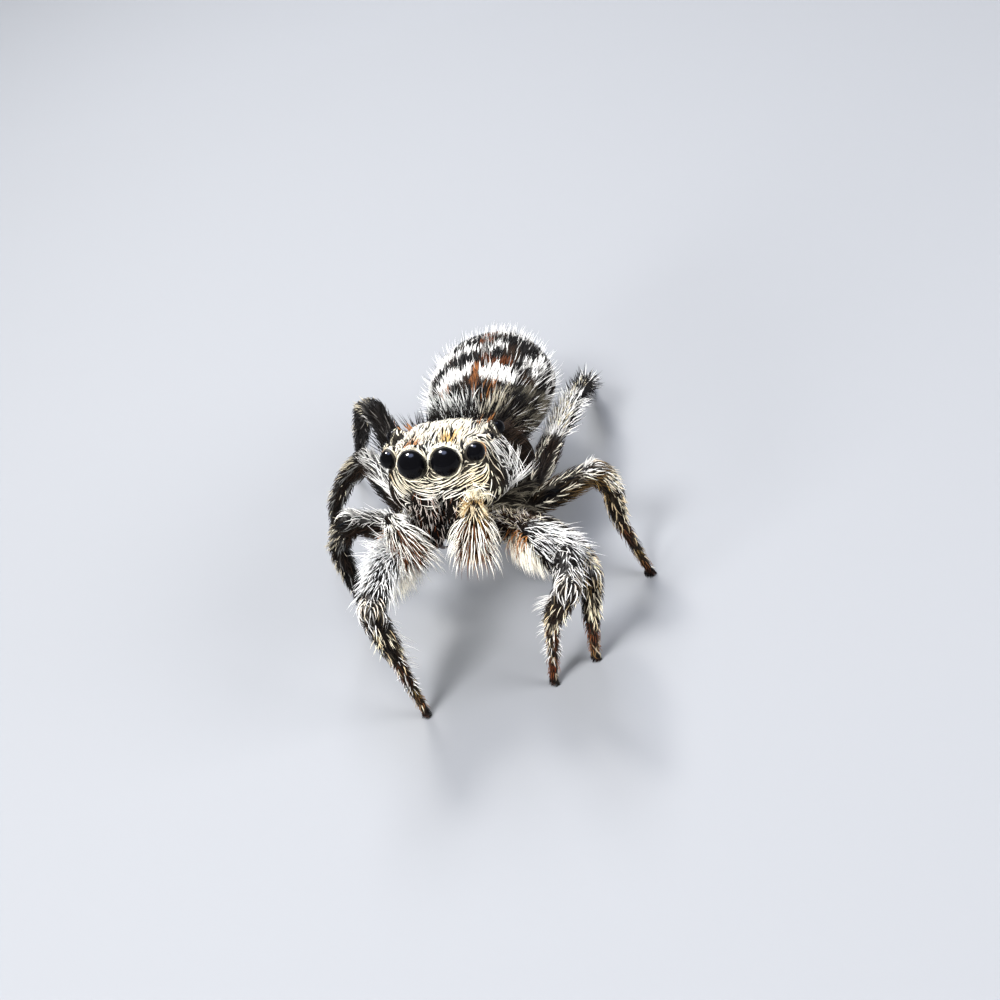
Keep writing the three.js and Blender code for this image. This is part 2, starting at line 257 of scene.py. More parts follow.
ABDOMEN_MIDDLE = abdomen_middle()
ABDOMEN_AXES = np.array(
    [
        [1, 0, 0],
        [0, math.cos(ABDOMEN_PITCH), -math.sin(ABDOMEN_PITCH)],
        [0, math.sin(ABDOMEN_PITCH), math.cos(ABDOMEN_PITCH)],
    ]
)


def to_abdomen(p):
    """Side, back and up on the abdomen, each from -1 to 1 at its coat's tips."""
    return (((p - ABDOMEN_MIDDLE) @ ABDOMEN_AXES.T) / ABDOMEN_HALF).T


def abdomen_shape():
    points, faces = sphere_grid(96, 72)
    x, y, z = points.T
    half = ABDOMEN_HALF - ABDOMEN_COAT
    taper = 1 - 0.24 * smooth(y, 0.1, 1) - 0.06 * smooth(-y, 0.4, 1)
    belly = np.where(z < 0, 0.86, 1)
    full = np.sqrt(np.maximum(1e-9, 1 - y * y)) ** -0.12
    local = np.stack([x * taper * full * half[0], y * half[1], z * belly * taper * full * half[2]], 1)
    return local @ ABDOMEN_AXES + ABDOMEN_MIDDLE, faces


CAP_ANGLES = [math.radians(angle) for angle in (75, 50, 25)]


def tube(path, radii, sides=20):
    """A closed round tube along a path, with rounded ends. radii holds one radius a path point."""
    path, radii = np.asarray(path, float), np.asarray(radii, float)
    first, last = unit(path[1] - path[0]), unit(path[-1] - path[-2])
    spots = [path[0] - first * radii[0] * math.sin(a) for a in CAP_ANGLES]
    spots += [*path, *(path[-1] + last * radii[-1] * math.sin(a) for a in CAP_ANGLES[::-1])]
    sizes = [radii[0] * math.cos(a) for a in CAP_ANGLES]
    sizes += [*radii, *(radii[-1] * math.cos(a) for a in CAP_ANGLES[::-1])]
    spots = np.array(spots)
    tangents = unit(np.gradient(spots, axis=0))
    guide = np.array([0.31, 0.17, 0.94])  # a direction that no tube follows
    points = []
    for spot, size, along in zip(spots, sizes, tangents):
        across = unit(np.cross(along, guide))
        rise = np.cross(across, along)
        for j in range(sides):
            a = 2 * math.pi * j / sides
            points.append(spot + size * (math.cos(a) * across + math.sin(a) * rise))
    rings = len(spots)
    faces = [tuple(range(sides))[::-1], tuple(range((rings - 1) * sides, rings * sides))]
    for i in range(rings - 1):
        for j in range(sides):
            k = (j + 1) % sides
            faces.append((i * sides + j, i * sides + k, (i + 1) * sides + k, (i + 1) * sides + j))
    return np.array(points), faces


def bowed(start, bow, end, steps):
    """A smooth curve from start to end, drawn towards bow."""
    t = np.linspace(0, 1, steps)[:, None]
    return start * (1 - t) ** 2 + bow * 2 * t * (1 - t) + end * t**2


# ---------------------------------------------------------------- limbs

# Radii of the flesh of each leg segment, spread evenly from its start to its end.
FLESH = {
    "coxa": (0.27, 0.31, 0.28),
    "femur": (0.23, 0.28, 0.30, 0.28, 0.22),
    "patella": (0.22, 0.26, 0.25, 0.21),
    "tibia": (0.20, 0.215, 0.205, 0.17),
    "metatarsus": (0.15, 0.14, 0.125, 0.12),
    "tarsus": (0.115, 0.105, 0.10, 0.085),
}
FRONT_LEG_GROWTH = 1.16
METATARSUS_SHARE = 0.58
KNEE_SHIFT = {  # from the middle of the joint's solids to the flesh inside their coat
    "L1": np.array([0, 0, 0.03]),
    "R1": np.array([0, 0, 0.14]),
    "L3": np.array([0.18, -0.07, -0.15]),
}
FRONT_TIBIA_LIFT = np.array([0, 0, 0.05])
SOLE_PAD = np.array([0, 0, 0.10])  # from the sole up to the end of the tarsus
LEVEL = np.array([1, 1, 0])  # times a direction, leaves what is level of it
SEGMENTS = ("coxa", "femur", "patella", "tibia", "metatarsus", "tarsus")
LEGS = [side + number for side in "LR" for number in "1234"]


def swollen(part):
    """The flesh of a segment: a tube whose radius follows its radii, spread evenly along it."""
    t = np.linspace(0, 1, 12)
    radii = np.interp(t, np.linspace(0, 1, len(part.radii)), part.radii)
    return tube(part.start + (part.end - part.start) * t[:, None], radii)


class Segment:
    """A straight piece of a limb: its ends and its own directions (along, dorsal, front)."""

    def __init__(self, start, end, outward, radii):
        self.start, self.end, self.radii = start, end, radii
        self.length = float(np.linalg.norm(end - start))
        self.along = unit(end - start)
        plane = unit(np.cross(outward, (0, 0, 1.0)))
        front = unit(plane - self.along * (plane @ self.along))
        if front[1] > 0:
            front = -front
        dorsal = unit(np.cross(self.along, front))
        if dorsal @ (outward + np.array([0, 0, 1.0])) < 0:
            dorsal = -dorsal
        self.front, self.dorsal = front, dorsal

    def place(self, p):
        """Share of the length, and angle from dorsal towards the front side, of points."""
        d = p - self.start
        return (d @ self.along) / self.length, np.arctan2(d @ self.front, d @ self.dorsal)

    def surface(self, t, angle):
        radius = np.interp(t, np.linspace(0, 1, len(self.radii)), self.radii)
        ray = np.cos(angle)[:, None] * self.dorsal + np.sin(angle)[:, None] * self.front
        return self.start + t[:, None] * (self.end - self.start) + ray * radius[:, None], ray


def leg_segments(leg):
    names = [f"{part}_{leg}" for part in ("coxa", "femur", "patella", "tibia", "foot")]
    joints = [joint(a, b) for a, b in zip(names, names[1:])]
    coxa = points_of(names[0]).mean(axis=0)
    inner = coxa + (coxa - joints[0]) * 0.9
    foot = points_of(names[-1])
    tip = foot[foot[:, 2] < 0.01].mean(axis=0) + SOLE_PAD
    joints[1] = joints[1] + KNEE_SHIFT.get(leg, np.zeros(3))
    if leg[1] == "1":
        joints[2] = joints[2] + FRONT_TIBIA_LIFT
    ankle = joints[3]
    heel = ankle + (tip - ankle) * METATARSUS_SHARE
    chain = [inner, *joints, heel, tip]
    outward = unit((tip - joints[0]) * LEVEL)
    made = {}
    for i, part in enumerate(SEGMENTS):
        thick = leg[1] == "1" and part in ("femur", "patella", "tibia")
        radii = [r * (FRONT_LEG_GROWTH if thick else 1.0) for r in FLESH[part]]
        made[part] = Segment(chain[i], chain[i + 1], outward, radii)
    return made


LEG = {leg: leg_segments(leg) for leg in LEGS}

PALP_BRUSH_FLESH = 0.62  # share of the brush's length that is flesh; the rest is hair


def palp_segments(side):
    arm, brush = f"palp_arm_{side}", f"palp_brush_{side}"
    knee = joint(arm, brush)
    root = farthest(points_of(arm), knee, 8)
    tip = knee + (farthest(points_of(brush), knee, 10) - knee) * PALP_BRUSH_FLESH
    outward = unit(np.array([0.2 if side == "L" else -0.2, -1.0, 0]))
    return {
        "arm": Segment(root, knee, outward, (0.17, 0.18, 0.17)),
        "brush": Segment(knee, tip, outward, (0.17, 0.19, 0.21, 0.17)),
    }


PALP = {side: palp_segments(side) for side in "LR"}


def jaw_segment(side):
    a, b, u = to_head(points_of(f"chelicera_{side}"))
    top = from_head(np.array([a.mean(), b.mean() + 0.04, -1.0]))
    tip = from_head(np.array([a.mean() * 0.93, b.mean() + 0.08, u.min() + 0.30]))
    return Segment(top, tip, np.array([0, -1.0, 0]), (0.33, 0.36, 0.34, 0.27))


JAW = {side: jaw_segment(side) for side in "LR"}

# ---------------------------------------------------------------- skin

VOXEL = 0.042
SKIN_TRIANGLES = 170000


def spinneret_tubes():
    """The stalk of the spinnerets, and two pairs of tubes: the upper pair reaches further."""
    base = box_centre("spinnerets")
    rear = box_mm("spinnerets")[1][1]
    tubes = [tube([base + (0, -0.55, 0.1), base + (0, -0.1, 0.02)], [0.3, 0.22])]
    for sx in (-1, 1):
        for rise, short in ((0.09, 0.14), (-0.11, 0.34)):
            start = np.array([base[0] + sx * 0.17, base[1] - 0.25, base[2] + rise])
            end = np.array([base[0] + sx * 0.21, rear - short, base[2] + rise - 0.12])
            tubes.append(tube([start, end], [0.12, 0.085]))
    return tubes


def skin_parts():
    """Every closed shape of the flesh, by name."""
    parts = {"carapace": [carapace_shape()], "abdomen": [abdomen_shape()]}
    for centre, radius, look in EYE_FACTS.values():
        sink = 0.10 * radius / 0.36
        parts["carapace"].append(ball(centre - look * sink, radius + min(0.028, radius * 0.12)))
    parts["abdomen"].append(tube([from_head((0, 3.9, -1.35)), from_head((0, 5.2, -1.3))], [0.3, 0.26]))
    points, faces = sphere_grid(40, 28)
    for name, half, middle in (
        ("sternum", (0.68, 1.4, 0.6), (0, 2.1, -2.15)),
        ("mouth", (0.62, 0.5, 0.36), (0, 0.85, -1.95)),
    ):
        parts[name] = [(from_head(points * np.array(half) + np.array(middle)), faces)]
    for side in "LR":
        parts[f"jaw_{side}"] = [swollen(JAW[side])]
        for name, part in PALP[side].items():
            parts[f"palp_{name}_{side}"] = [swollen(part)]
    for leg in LEGS:
        for name, part in LEG[leg].items():
            parts[f"{name}_{leg}"] = [swollen(part)]
    parts["spinnerets"] = spinneret_tubes()
    return parts


def plain_mesh(name, points, faces):
    mesh = bpy.data.meshes.new(name)
    mesh.from_pydata([tuple(p) for p in points], [], faces)
    mesh.update()
    return mesh


def placed(name, data):
    """A new object in the scene that holds a mesh, a lamp or a camera."""
    piece = bpy.data.objects.new(name, data)
    bpy.context.scene.collection.objects.link(piece)
    return piece


def remeshed(points, faces):
    """One even skin round overlapping closed shapes, as corners and triangles."""
    rough = placed("rough", plain_mesh("rough", points, faces))
    remesh = rough.modifiers.new("remesh", "REMESH")
    remesh.mode = "VOXEL"
    remesh.voxel_size = VOXEL
    relax = rough.modifiers.new("relax", "SMOOTH")
    relax.factor = 0.5
    relax.iterations = 3
    thin = rough.modifiers.new("thin", "DECIMATE")
    thin.ratio = 1.0
    evaluated = rough.evaluated_get(bpy.context.evaluated_depsgraph_get())
    triangles = sum(len(p.vertices) - 2 for p in evaluated.data.polygons)
    thin.ratio = min(1.0, SKIN_TRIANGLES / triangles)
    thin.use_collapse_triangulate = True
    mesh = rough.evaluated_get(bpy.context.evaluated_depsgraph_get()).data
    corners = np.empty(len(mesh.vertices) * 3)
    mesh.vertices.foreach_get("co", corners)
    mesh.calc_loop_triangles()
    tris = np.empty(len(mesh.loop_triangles) * 3, np.int32)
    mesh.loop_triangles.foreach_get("vertices", tris)
    old = rough.data
    bpy.data.objects.remove(rough)
    bpy.data.meshes.remove(old)
    return corners.reshape(-1, 3), tris.reshape(-1, 3)


def build_skin():
    """The skin's corners and triangles, each corner's part, and the parts' names."""
    points, faces, labels, names = [], [], [], []
    count = 0
    for name, shapes in skin_parts().items():
        for shape_points, shape_faces in shapes:
            points.append(shape_points)
            faces.extend(tuple(i + count for i in f) for f in shape_faces)
            count += len(shape_points)
            labels.extend([len(names)] * len(shape_points))
        names.append(name)
    points = np.concatenate(points)
    corners, tris = remeshed(points, faces)
    tree = KDTree(len(points))
    for i, p in enumerate(points):
        tree.insert(p, i)
    tree.balance()
    part = np.array([labels[tree.find(c)[1]] for c in corners])
    corners[:, 2] = np.maximum(corners[:, 2], 0.0)
    return corners, tris, part, names


SKIN, SKIN_TRIS, SKIN_PART, PART_NAMES = build_skin()
TREE = BVHTree.FromPolygons([tuple(p) for p in SKIN], [tuple(int(i) for i in t) for t in SKIN_TRIS])
FACE_POINTS = SKIN[SKIN_TRIS]
FACE_CROSS = np.cross(FACE_POINTS[:, 1] - FACE_POINTS[:, 0], FACE_POINTS[:, 2] - FACE_POINTS[:, 0])
FACE_AREA = np.linalg.norm(FACE_CROSS, axis=1) / 2
FACE_PART = SKIN_PART[SKIN_TRIS[:, 0]]


def point_normals():
    """The skin's direction at each of its corners."""
    total = np.zeros_like(SKIN)
    for corner in range(3):
        np.add.at(total, SKIN_TRIS[:, corner], FACE_CROSS)
    return unit(total)


POINT_NORMAL = point_normals()


def on_skin(p):
    """The nearest points of the skin, and the skin's direction there."""
    spots, normals = np.empty_like(p), np.empty_like(p)
    for i, q in enumerate(p):
        spot, _, index, _ = TREE.find_nearest(q)
        spots[i] = spot
        normals[i] = POINT_NORMAL[SKIN_TRIS[index]].mean(axis=0)
    return spots, unit(normals)


def part_ids(*starts):
    return [i for i, name in enumerate(PART_NAMES) if name.startswith(starts)]


def scatter(ids, density, keep=None):
    """Random roots on the skin of some parts, density of them a square millimetre, and its direction."""
    chosen = np.nonzero(np.isin(FACE_PART, ids))[0]
    weight = FACE_AREA[chosen] * density
    if keep is not None:
        weight = weight * keep(FACE_POINTS[chosen].mean(axis=1))
    count = int(round(weight.sum()))
    picked = chosen[rng.choice(len(chosen), count, p=weight / weight.sum())]
    a, b = rng.random((2, count))
    flip = a + b > 1
    a[flip], b[flip] = 1 - a[flip], 1 - b[flip]
    corner = FACE_POINTS[picked]
    first, second = corner[:, 1] - corner[:, 0], corner[:, 2] - corner[:, 0]
    p = corner[:, 0] + a[:, None] * first + b[:, None] * second
    return p, unit(POINT_NORMAL[SKIN_TRIS[picked]].mean(axis=1))


# ---------------------------------------------------------------- strands

CELLS = 330  # patches along each side of a coat piece's unwrap
SIDES = 3  # of every strand
PATCH_MARGIN = 0.05  # share of a patch left free at each edge
PATCH_ROWS = (0.12, 0.92)  # where a strand's sides start and end on its patch


def strand_faces(count):
    """Triangles of a strand with so many rings, the last its point, and their corners' places on a patch."""
    rows = mix(*PATCH_ROWS, np.linspace(0, 1, count))
    columns = np.arange(SIDES + 1) / SIDES
    point = (count - 1) * SIDES
    faces, coords = [], []
    for i in range(count - 1):
        for j in range(SIDES):
            m = (j + 1) % SIDES
            left, right = columns[j], columns[j + 1]
            a, b, c, d = i * SIDES + j, i * SIDES + m, (i + 1) * SIDES + m, (i + 1) * SIDES + j
            if i == count - 2:
                faces.append((a, b, point))
                coords.append(((left, rows[i]), (right, rows[i]), ((left + right) / 2, rows[i + 1])))
                continue
            faces.extend(((a, b, c), (a, c, d)))
            coords.append(((left, rows[i]), (right, rows[i]), (right, rows[i + 1])))
            coords.append(((left, rows[i]), (right, rows[i + 1]), (left, rows[i + 1])))
    faces.append((2, 1, 0))
    coords.append(((0.1, 0.02), (0.9, 0.02), (0.5, 0.10)))
    return np.array(faces), np.array(coords) * (1 - 2 * PATCH_MARGIN) + PATCH_MARGIN


class Coat:
    """Collects the strands of one coat piece and makes its mesh."""

    def __init__(self, name, unwrap):
        self.name, self.unwrap = name, unwrap
        self.batches = []

    def add(self, lines, normals, width, colour, flat=0.55, tip=0.12, shade=0.55):
        """lines holds each strand's middle line, root first. width is its greatest thickness, flat its
        height as a share of that, tip the share left at its end and shade the brightness of the painted shade
        at its root."""
        width = np.broadcast_to(width, (len(lines),))
        self.batches.append((lines, normals, width, np.clip(colour, 0, 1), flat, tip, shade))

    def cells(self):
        """A free patch of the unwrap for each strand, as near its root's own place as can be."""
        roots = np.concatenate([batch[0][:, 0] for batch in self.batches])
        want = np.clip((self.unwrap(roots) * CELLS).astype(int), 0, CELLS - 1)
        taken = np.zeros(CELLS * CELLS, bool)
        cell = np.full(len(roots), -1)
        waiting = np.arange(len(roots))
        reach = 0.0
        while len(waiting):
            step = rng.integers(-int(reach), int(reach) + 1, (len(waiting), 2))
            spot = np.clip(want[waiting] + step, 0, CELLS - 1)
            index = spot[:, 0] * CELLS + spot[:, 1]
            _, first = np.unique(index, return_index=True)
            first = first[~taken[index[first]]]
            cell[waiting[first]] = index[first]
            taken[index[first]] = True
            waiting = np.delete(waiting, first)
            reach += 0.25
        return np.stack([cell // CELLS, cell % CELLS], 1) / CELLS

    def build(self, material):
        cells = self.cells()
        verts, tris, uvs, tints = [], [], [], []
        offset = start = 0
        for lines, normals, width, colour, flat, tip, shade in self.batches:
            n, count, _ = lines.shape
            s = np.linspace(0, 1, count)
            tangent = unit(np.gradient(lines, axis=1))
            across = unit(np.cross(tangent, normals[:, None, :]))
            rise = unit(np.cross(across, tangent))
            belly = (0.62 + 0.38 * np.sin(np.pi * np.minimum(1, s * 1.25))) * (1 - s**2.2 * (1 - tip))
            radius = width[:, None] / 2 * belly[None, :]
            rings = []
            for angle in (math.radians(90), math.radians(210), math.radians(330)):
                ray = across * math.cos(angle) + rise * (math.sin(angle) * flat)
                rings.append(lines + ray * radius[..., None])
            ring = np.stack(rings, 2)[:, : count - 1]
            block = np.concatenate([ring.reshape(n, -1, 3), lines[:, -1:, :]], 1)
            verts.append(block.reshape(-1, 3))
            each = block.shape[1]
            faces, coords = strand_faces(count)
            tris.append((np.arange(n)[:, None, None] * each + faces[None] + offset).reshape(-1, 3))
            patch = cells[start : start + n]
            uvs.append((patch[:, None, None, :] + coords[None] / CELLS).reshape(-1, 2))
            # Painted shade: each strand is darker towards its root, where the coat over it lies in shade.
            painted_root_shade = mix(shade, 1.0, smooth(s, 0.0, 0.45))
            levels = np.concatenate([np.repeat(painted_root_shade[: count - 1], SIDES), painted_root_shade[-1:]])
            tints.append((colour[:, None, :] * levels[None, :, None]).reshape(-1, 3))
            offset += n * each
            start += n
        verts = np.concatenate(verts)
        verts[:, 2] = np.maximum(verts[:, 2], 0.0)
        piece = tinted_piece(self.name, verts, np.concatenate(tris), np.concatenate(tints), material)
        layer = piece.data.uv_layers.new(name="OFBake")
        layer.data.foreach_set("uv", np.concatenate(uvs).astype(np.float32).ravel())
        return piece


def tinted_piece(name, verts, tris, tints, material):
    """A smooth-shaded piece of triangles, in metres, with a colour at each corner."""
    mesh = bpy.data.meshes.new(name)
    mesh.vertices.add(len(verts))
    mesh.vertices.foreach_set("co", (verts * MM).astype(np.float32).ravel())
    mesh.loops.add(len(tris) * 3)
    mesh.loops.foreach_set("vertex_index", tris.astype(np.int32).ravel())
    mesh.polygons.add(len(tris))
    mesh.polygons.foreach_set("loop_start", np.arange(0, len(tris) * 3, 3, dtype=np.int32))
    mesh.polygons.foreach_set("use_smooth", np.ones(len(tris), bool))
    mesh.update()
    mesh.validate()
    layer = mesh.color_attributes.new("Tint", "FLOAT_COLOR", "POINT")
    full = np.concatenate([tints, np.ones((len(tints), 1))], 1)
    layer.data.foreach_set("color", full.astype(np.float32).ravel())
    mesh.materials.append(material)
    return placed(name, mesh)


def turned(d, axis, angle):
    """Directions turned about axes by angles."""
    c, s = np.cos(angle)[:, None], np.sin(angle)[:, None]
    return d * c + np.cross(axis, d) * s + axis * (np.sum(axis * d, axis=1, keepdims=True)) * (1 - c)


LYING_DEPTH = 0.03  # how far a strand starts below the skin
STANDING_DEPTH = 0.04


def lying(roots, normals, flow, length, height, stray=0.2, curl=0.2, steps=5):
    """Middle lines of hairs that follow the skin along a flow, rising to a height at their tips."""
    n = len(roots)
    angle = rng.normal(0, 1, n) * stray
    bend = rng.normal(0, 1, n) * curl / (steps - 1)
    spot, normal = roots, normals
    lines = [spot - normal * LYING_DEPTH]
    for k in range(1, steps):
        d = flow(spot, normal)
        d = unit(d - normal * np.sum(d * normal, axis=1, keepdims=True))
        d = turned(d, normal, angle + bend * k)
        spot, normal = on_skin(spot + d * (length / (steps - 1))[:, None])
        rise = height * (1 - (1 - k / (steps - 1)) ** 1.7)
        lines.append(spot + normal * rise[:, None])
    return np.stack(lines, 1)


def standing(roots, start, end, length, steps=6):
    """Middle lines of free hairs that leave along start and bend towards end."""
    start, end = unit(start), unit(end)
    p = roots - start * STANDING_DEPTH
    lines = [p]
    for k in range(1, steps):
        t = (k - 0.5) / (steps - 1)
        p = p + unit(start * (1 - t) + end * t) * (length / (steps - 1))[:, None]
        lines.append(p)
    return np.stack(lines, 1)


def spaced(lines, gap, share=0.45):
    """Picks hairs that keep a gap from the ones before, but for a share of their length."""
    taken, kept = {}, []
    cells = np.floor(lines / gap).astype(int)
    offsets = [(i, j, k) for i in (-1, 0, 1) for j in (-1, 0, 1) for k in (-1, 0, 1)]

    def crowded(p, cell):
        x, y, z = cell
        for i, j, k in offsets:
            for q in taken.get((x + i, y + j, z + k), ()):
                if (p[0] - q[0]) ** 2 + (p[1] - q[1]) ** 2 + (p[2] - q[2]) ** 2 < gap * gap:
                    return True
        return False

    for index, line in enumerate(lines):
        rest = list(zip(line[1:].tolist(), cells[index][1:].tolist()))
        if sum(crowded(p, cell) for p, cell in rest) <= share * len(rest):
            kept.append(index)
            for p, cell in rest:
                taken.setdefault(tuple(cell), []).append(p)
    return np.array(kept, int)


def varied(n, low, high):
    return rng.uniform(low, high, n)


def tinted(colour, n=None, spread=0.16):
    """Each strand's own slight change of brightness."""
    if n is not None:
        colour = np.tile(colour, (n, 1))
    return colour * np.exp(rng.normal(0, spread, (len(colour), 1)))


# ---------------------------------------------------------------- markings


def spot_on(a, b, middle, half):
    """From 0 to 1: how far into a round spot with a flat middle the places a, b are."""
    return np.minimum(1, 2.0 * near(a, middle[0], half[0]) * near(b, middle[1], half[1]))


def head_marks(p, normal):
    """Colour of the carapace's coat, and how much of it is pale, by place."""
    a, b, u = to_head(p)
    top = smooth(normal @ UP, 0.25, 0.7)
    side = np.abs(a)
    pale = mixed(CREAM, WHITE, 0.10 + 0.30 * top)
    pale = mixed(pale, WHITE, smooth(u, -0.55, -1.0) * 0.7 * smooth(a, 0.9, 0.2))
    pale = mixed(pale, GOLD * 1.15, spot_on(a, b, (0.36, 0.78), (0.19, 0.28)) * top)
    pale = mixed(pale, ORANGE * 1.2, 0.9 * spot_on(a, b, (-0.55, 0.62), (0.17, 0.2)) * top)
    behind_eye = near(side, 1.36, 0.10) * near(b, 0.72, 0.12) * near(u, 0.02, 0.14)
    pale = mixed(pale, ORANGE, 0.8 * behind_eye)
    cheek = near(side, 1.10, 0.28) * near(u, -0.55, 0.25) * smooth(b, 0.9, 0.3)
    tan = smooth(wobble(p, 9.0, 21), -0.1, 0.5)
    pale = mixed(pale, mix(CREAM, GOLD, 0.7), cheek * tan)
    band = smooth(b, 0.95, 1.25) * smooth(u, 0.1, -0.1)
    pale = mixed(pale, WHITE, band)
    thorax = smooth(b, 1.95, 2.5)
    pale = mixed(pale, BLACK * 2, thorax * 0.95)
    pale = mixed(pale, BROWN * 1.3, thorax * 0.9 * smooth(u, -0.4, -0.8))
    flank = smooth(b, 1.80, 1.90) * smooth(u, 0.16, -0.05)
    amount = 1 - 0.97 * flank
    amount = amount * (1 - 0.85 * thorax * smooth(side, 0.3, 0.9)) * (1 - 0.35 * thorax)
    dark_cheek = smooth(a, -0.96, -1.06) * smooth(u, -0.12, -0.25) * smooth(b, 1.3, 1.0)
    amount = amount * (1 - 0.93 * dark_cheek * (1 - near(a, -1.0, 0.1) * near(u, -0.85, 0.16)))
    outer = smooth(a, 1.05, 1.25) * smooth(u, 0.0, -0.2) * smooth(b, 1.35, 1.1)
    amount = amount * (1 - 0.38 * outer)
    under_jaw = smooth(u, -1.15, -1.4) * smooth(b, 1.0, 0.6)
    return pale, amount * (1 - 0.95 * under_jaw)


# The abdomen's patches: place along (back) and round (degrees from the top line), half sizes, colour,
# and side (+1 left, -1 right, 0 both sides alike). A later one covers those before it.
PATCHES = (
    (-0.20, 28, 0.075, 30, BLACK * 1.2, 0),
    (-0.22, 20, 0.045, 17, RUST * 0.8, 1),
    (-0.60, 18, 0.026, 12, mix(ORANGE, RUST, 0.6), 1),
    (-0.56, -38, 0.090, 10, mix(RUST, ORANGE, 0.45), -1),
    (-0.61, 40, 0.060, 7, BLACK, 1),
    (-0.36, 52, 0.055, 16, BROWN * 0.8, 1),
    (-0.400, 24, 0.120, 19, WHITE, 0),
    (-0.46, 0, 0.190, 4.5, mix(RUST, ORANGE, 0.2), 0),
    (-0.19, 46, 0.120, 5, WHITE, 1),
    (-0.08, 57, 0.120, 4.5, WHITE, 1),
    (0.06, 66, 0.110, 5, WHITE, 1),
    (0.02, -50, 0.150, 20, WHITE * 0.9, -1),
    (-0.02, -11, 0.060, 12, WHITE, -1),
    (-0.05, 9, 0.055, 6, WHITE, 1),
    (0.07, 17, 0.060, 6, WHITE, 1),
    (0.10, -22, 0.040, 7, BROWN * 0.7, -1),
    (0.14, -2, 0.035, 10, RUST, 0),
    (0.29, -3, 0.060, 8, WHITE, 0),
    (0.25, -24, 0.055, 9, WHITE, -1),
    (0.26, 34, 0.150, 14, BLACK, 1),
    (0.47, 22, 0.040, 17, WHITE, 0),
    (0.64, 24, 0.038, 20, WHITE, 0),
    (0.80, 28, 0.035, 24, WHITE, 0),
    (0.56, 0, 0.250, 6, RUST, 0),
)


def streaks(p, along, scale, seed):
    """Noise from about 0 to 1. A share under 1 in along draws it out that way (side, back or up)."""
    return 0.5 + 0.5 * wobble(p * np.array(along), scale, seed)


def abdomen_marks(p):
    """Colour of the abdomen's coat: white patches in pairs on black and rust, paler flanks, the left one
    dimmed by painted shade.
    """
    side, back, up = to_abdomen(p)
    turn = np.degrees(np.arctan2(side, up)) + 3.5 * wobble(p, 4.0, 13) + 2.0 * wobble(p, 11.0, 17)
    t = back + 0.026 * wobble(p, 4.0, 11) + 0.020 * wobble(p, 12.0, 12)
    lateral = np.abs(turn)
    streak = streaks(p, (1, 0.35, 1), 6.5, 14)
    colour = mixed(BLACK * 1.3, BROWN * 0.8, smooth(wobble(p, 5.0, 16), 0.0, 0.7))
    # Painted shade: the pale flank streaks are dimmed on the left side, the side in shade.
    left = smooth(turn, -10, 10)
    flank = smooth(lateral, 50, 68) * smooth(lateral, 125, 100)
    flank = flank * smooth(t, -0.5, -0.25) * smooth(t, 0.75, 0.4)
    colour = mixed(colour, WHITE * 0.9, flank * smooth(streak, 0.25, 0.5) * (1 - 0.55 * left))
    ragged = wobble(p, 8.0, 19)
    for middle, round_it, half_length, half_turn, patch, which in PATCHES:
        angle = turn if which else lateral
        lengthwise = np.abs((t - middle) / half_length)
        crosswise = np.abs((angle - round_it) / half_turn)
        far = (lengthwise**3 + crosswise**3) ** (1 / 3) + 0.22 * ragged
        colour = mixed(colour, patch, smooth(far, 1.1, 0.9))
    torn = smooth(streaks(p, (1, 0.25, 1), 11.0, 18), 0.55, 0.35)
    torn = torn * smooth(turn, 36, 44) * smooth(t, -0.45, -0.35) * smooth(lateral, 110, 90)
    colour = mixed(colour, SOOT, torn)
    edge = -0.62 + 0.0065 * np.maximum(0, lateral - 28)
    apron = smooth(t, edge + 0.01, edge - 0.04) * smooth(lateral, 120, 100)
    apron_streak = smooth(streaks(p, (1, 0.25, 0.6), 9.0, 15), 0.05, 0.45)
    apron_pale = mixed(GREY * 1.4, CREAM * 0.65, smooth(turn, -5, 30))
    thin = smooth(turn, 20, 60)
    root = smooth(t, -0.93, -0.86)
    colour = mixed(colour, BLACK * 1.3, apron)
    colour = mixed(colour, apron_pale, apron * apron_streak * root * (0.95 - 0.75 * thin))
    belly_colour = mixed(BROWN * 0.9, GREY * 0.9, 0.35 * streak)
    return mixed(colour, belly_colour, smooth(lateral, 95, 125) * 0.85)


def front_leg_marks(leg, part, t, dorsal, front, fine):
    """The white femur and patella of the first pair, with black near the knee."""
    left = leg == "L1"
    if part == "patella":
        colour = mixed(WHITE * 0.95, BLACK, smooth(fine, 0.4, 0.55))
        inner = smooth(dorsal, 0.6, 0.3) * smooth(front, -0.3, 0.1) if left else smooth(t, 0.55, 0.7)
        colour = mixed(colour, BLACK, inner * smooth(t, 0.98, 0.85))
        tuft = smooth(fine, 0.5, 0.65) * smooth(t, 0.8, 0.9) * smooth(dorsal, -0.1, 0.3)
        return mixed(colour, mix(WHITE, GOLD, 0.35), tuft)
    thinned, black_from = (0.2, 0.62) if left else (0.45, 0.85)
    colour = mixed(FROSTED, BLACK, smooth(fine, thinned, thinned + 0.18))
    colour = mixed(colour, CREAM, smooth(dorsal, 0.1, -0.5) * 0.8)
    colour = mixed(colour, mix(BROWN, ORANGE, 0.08), smooth(t, 0.40, 0.25) * 0.9)
    inner = smooth(dorsal, 0.55, 0.2) * smooth(front, -0.3, 0.1) if left else smooth(dorsal, 0, -0.3)
    return mixed(colour, BLACK, smooth(t, black_from, black_from + 0.13) * inner)


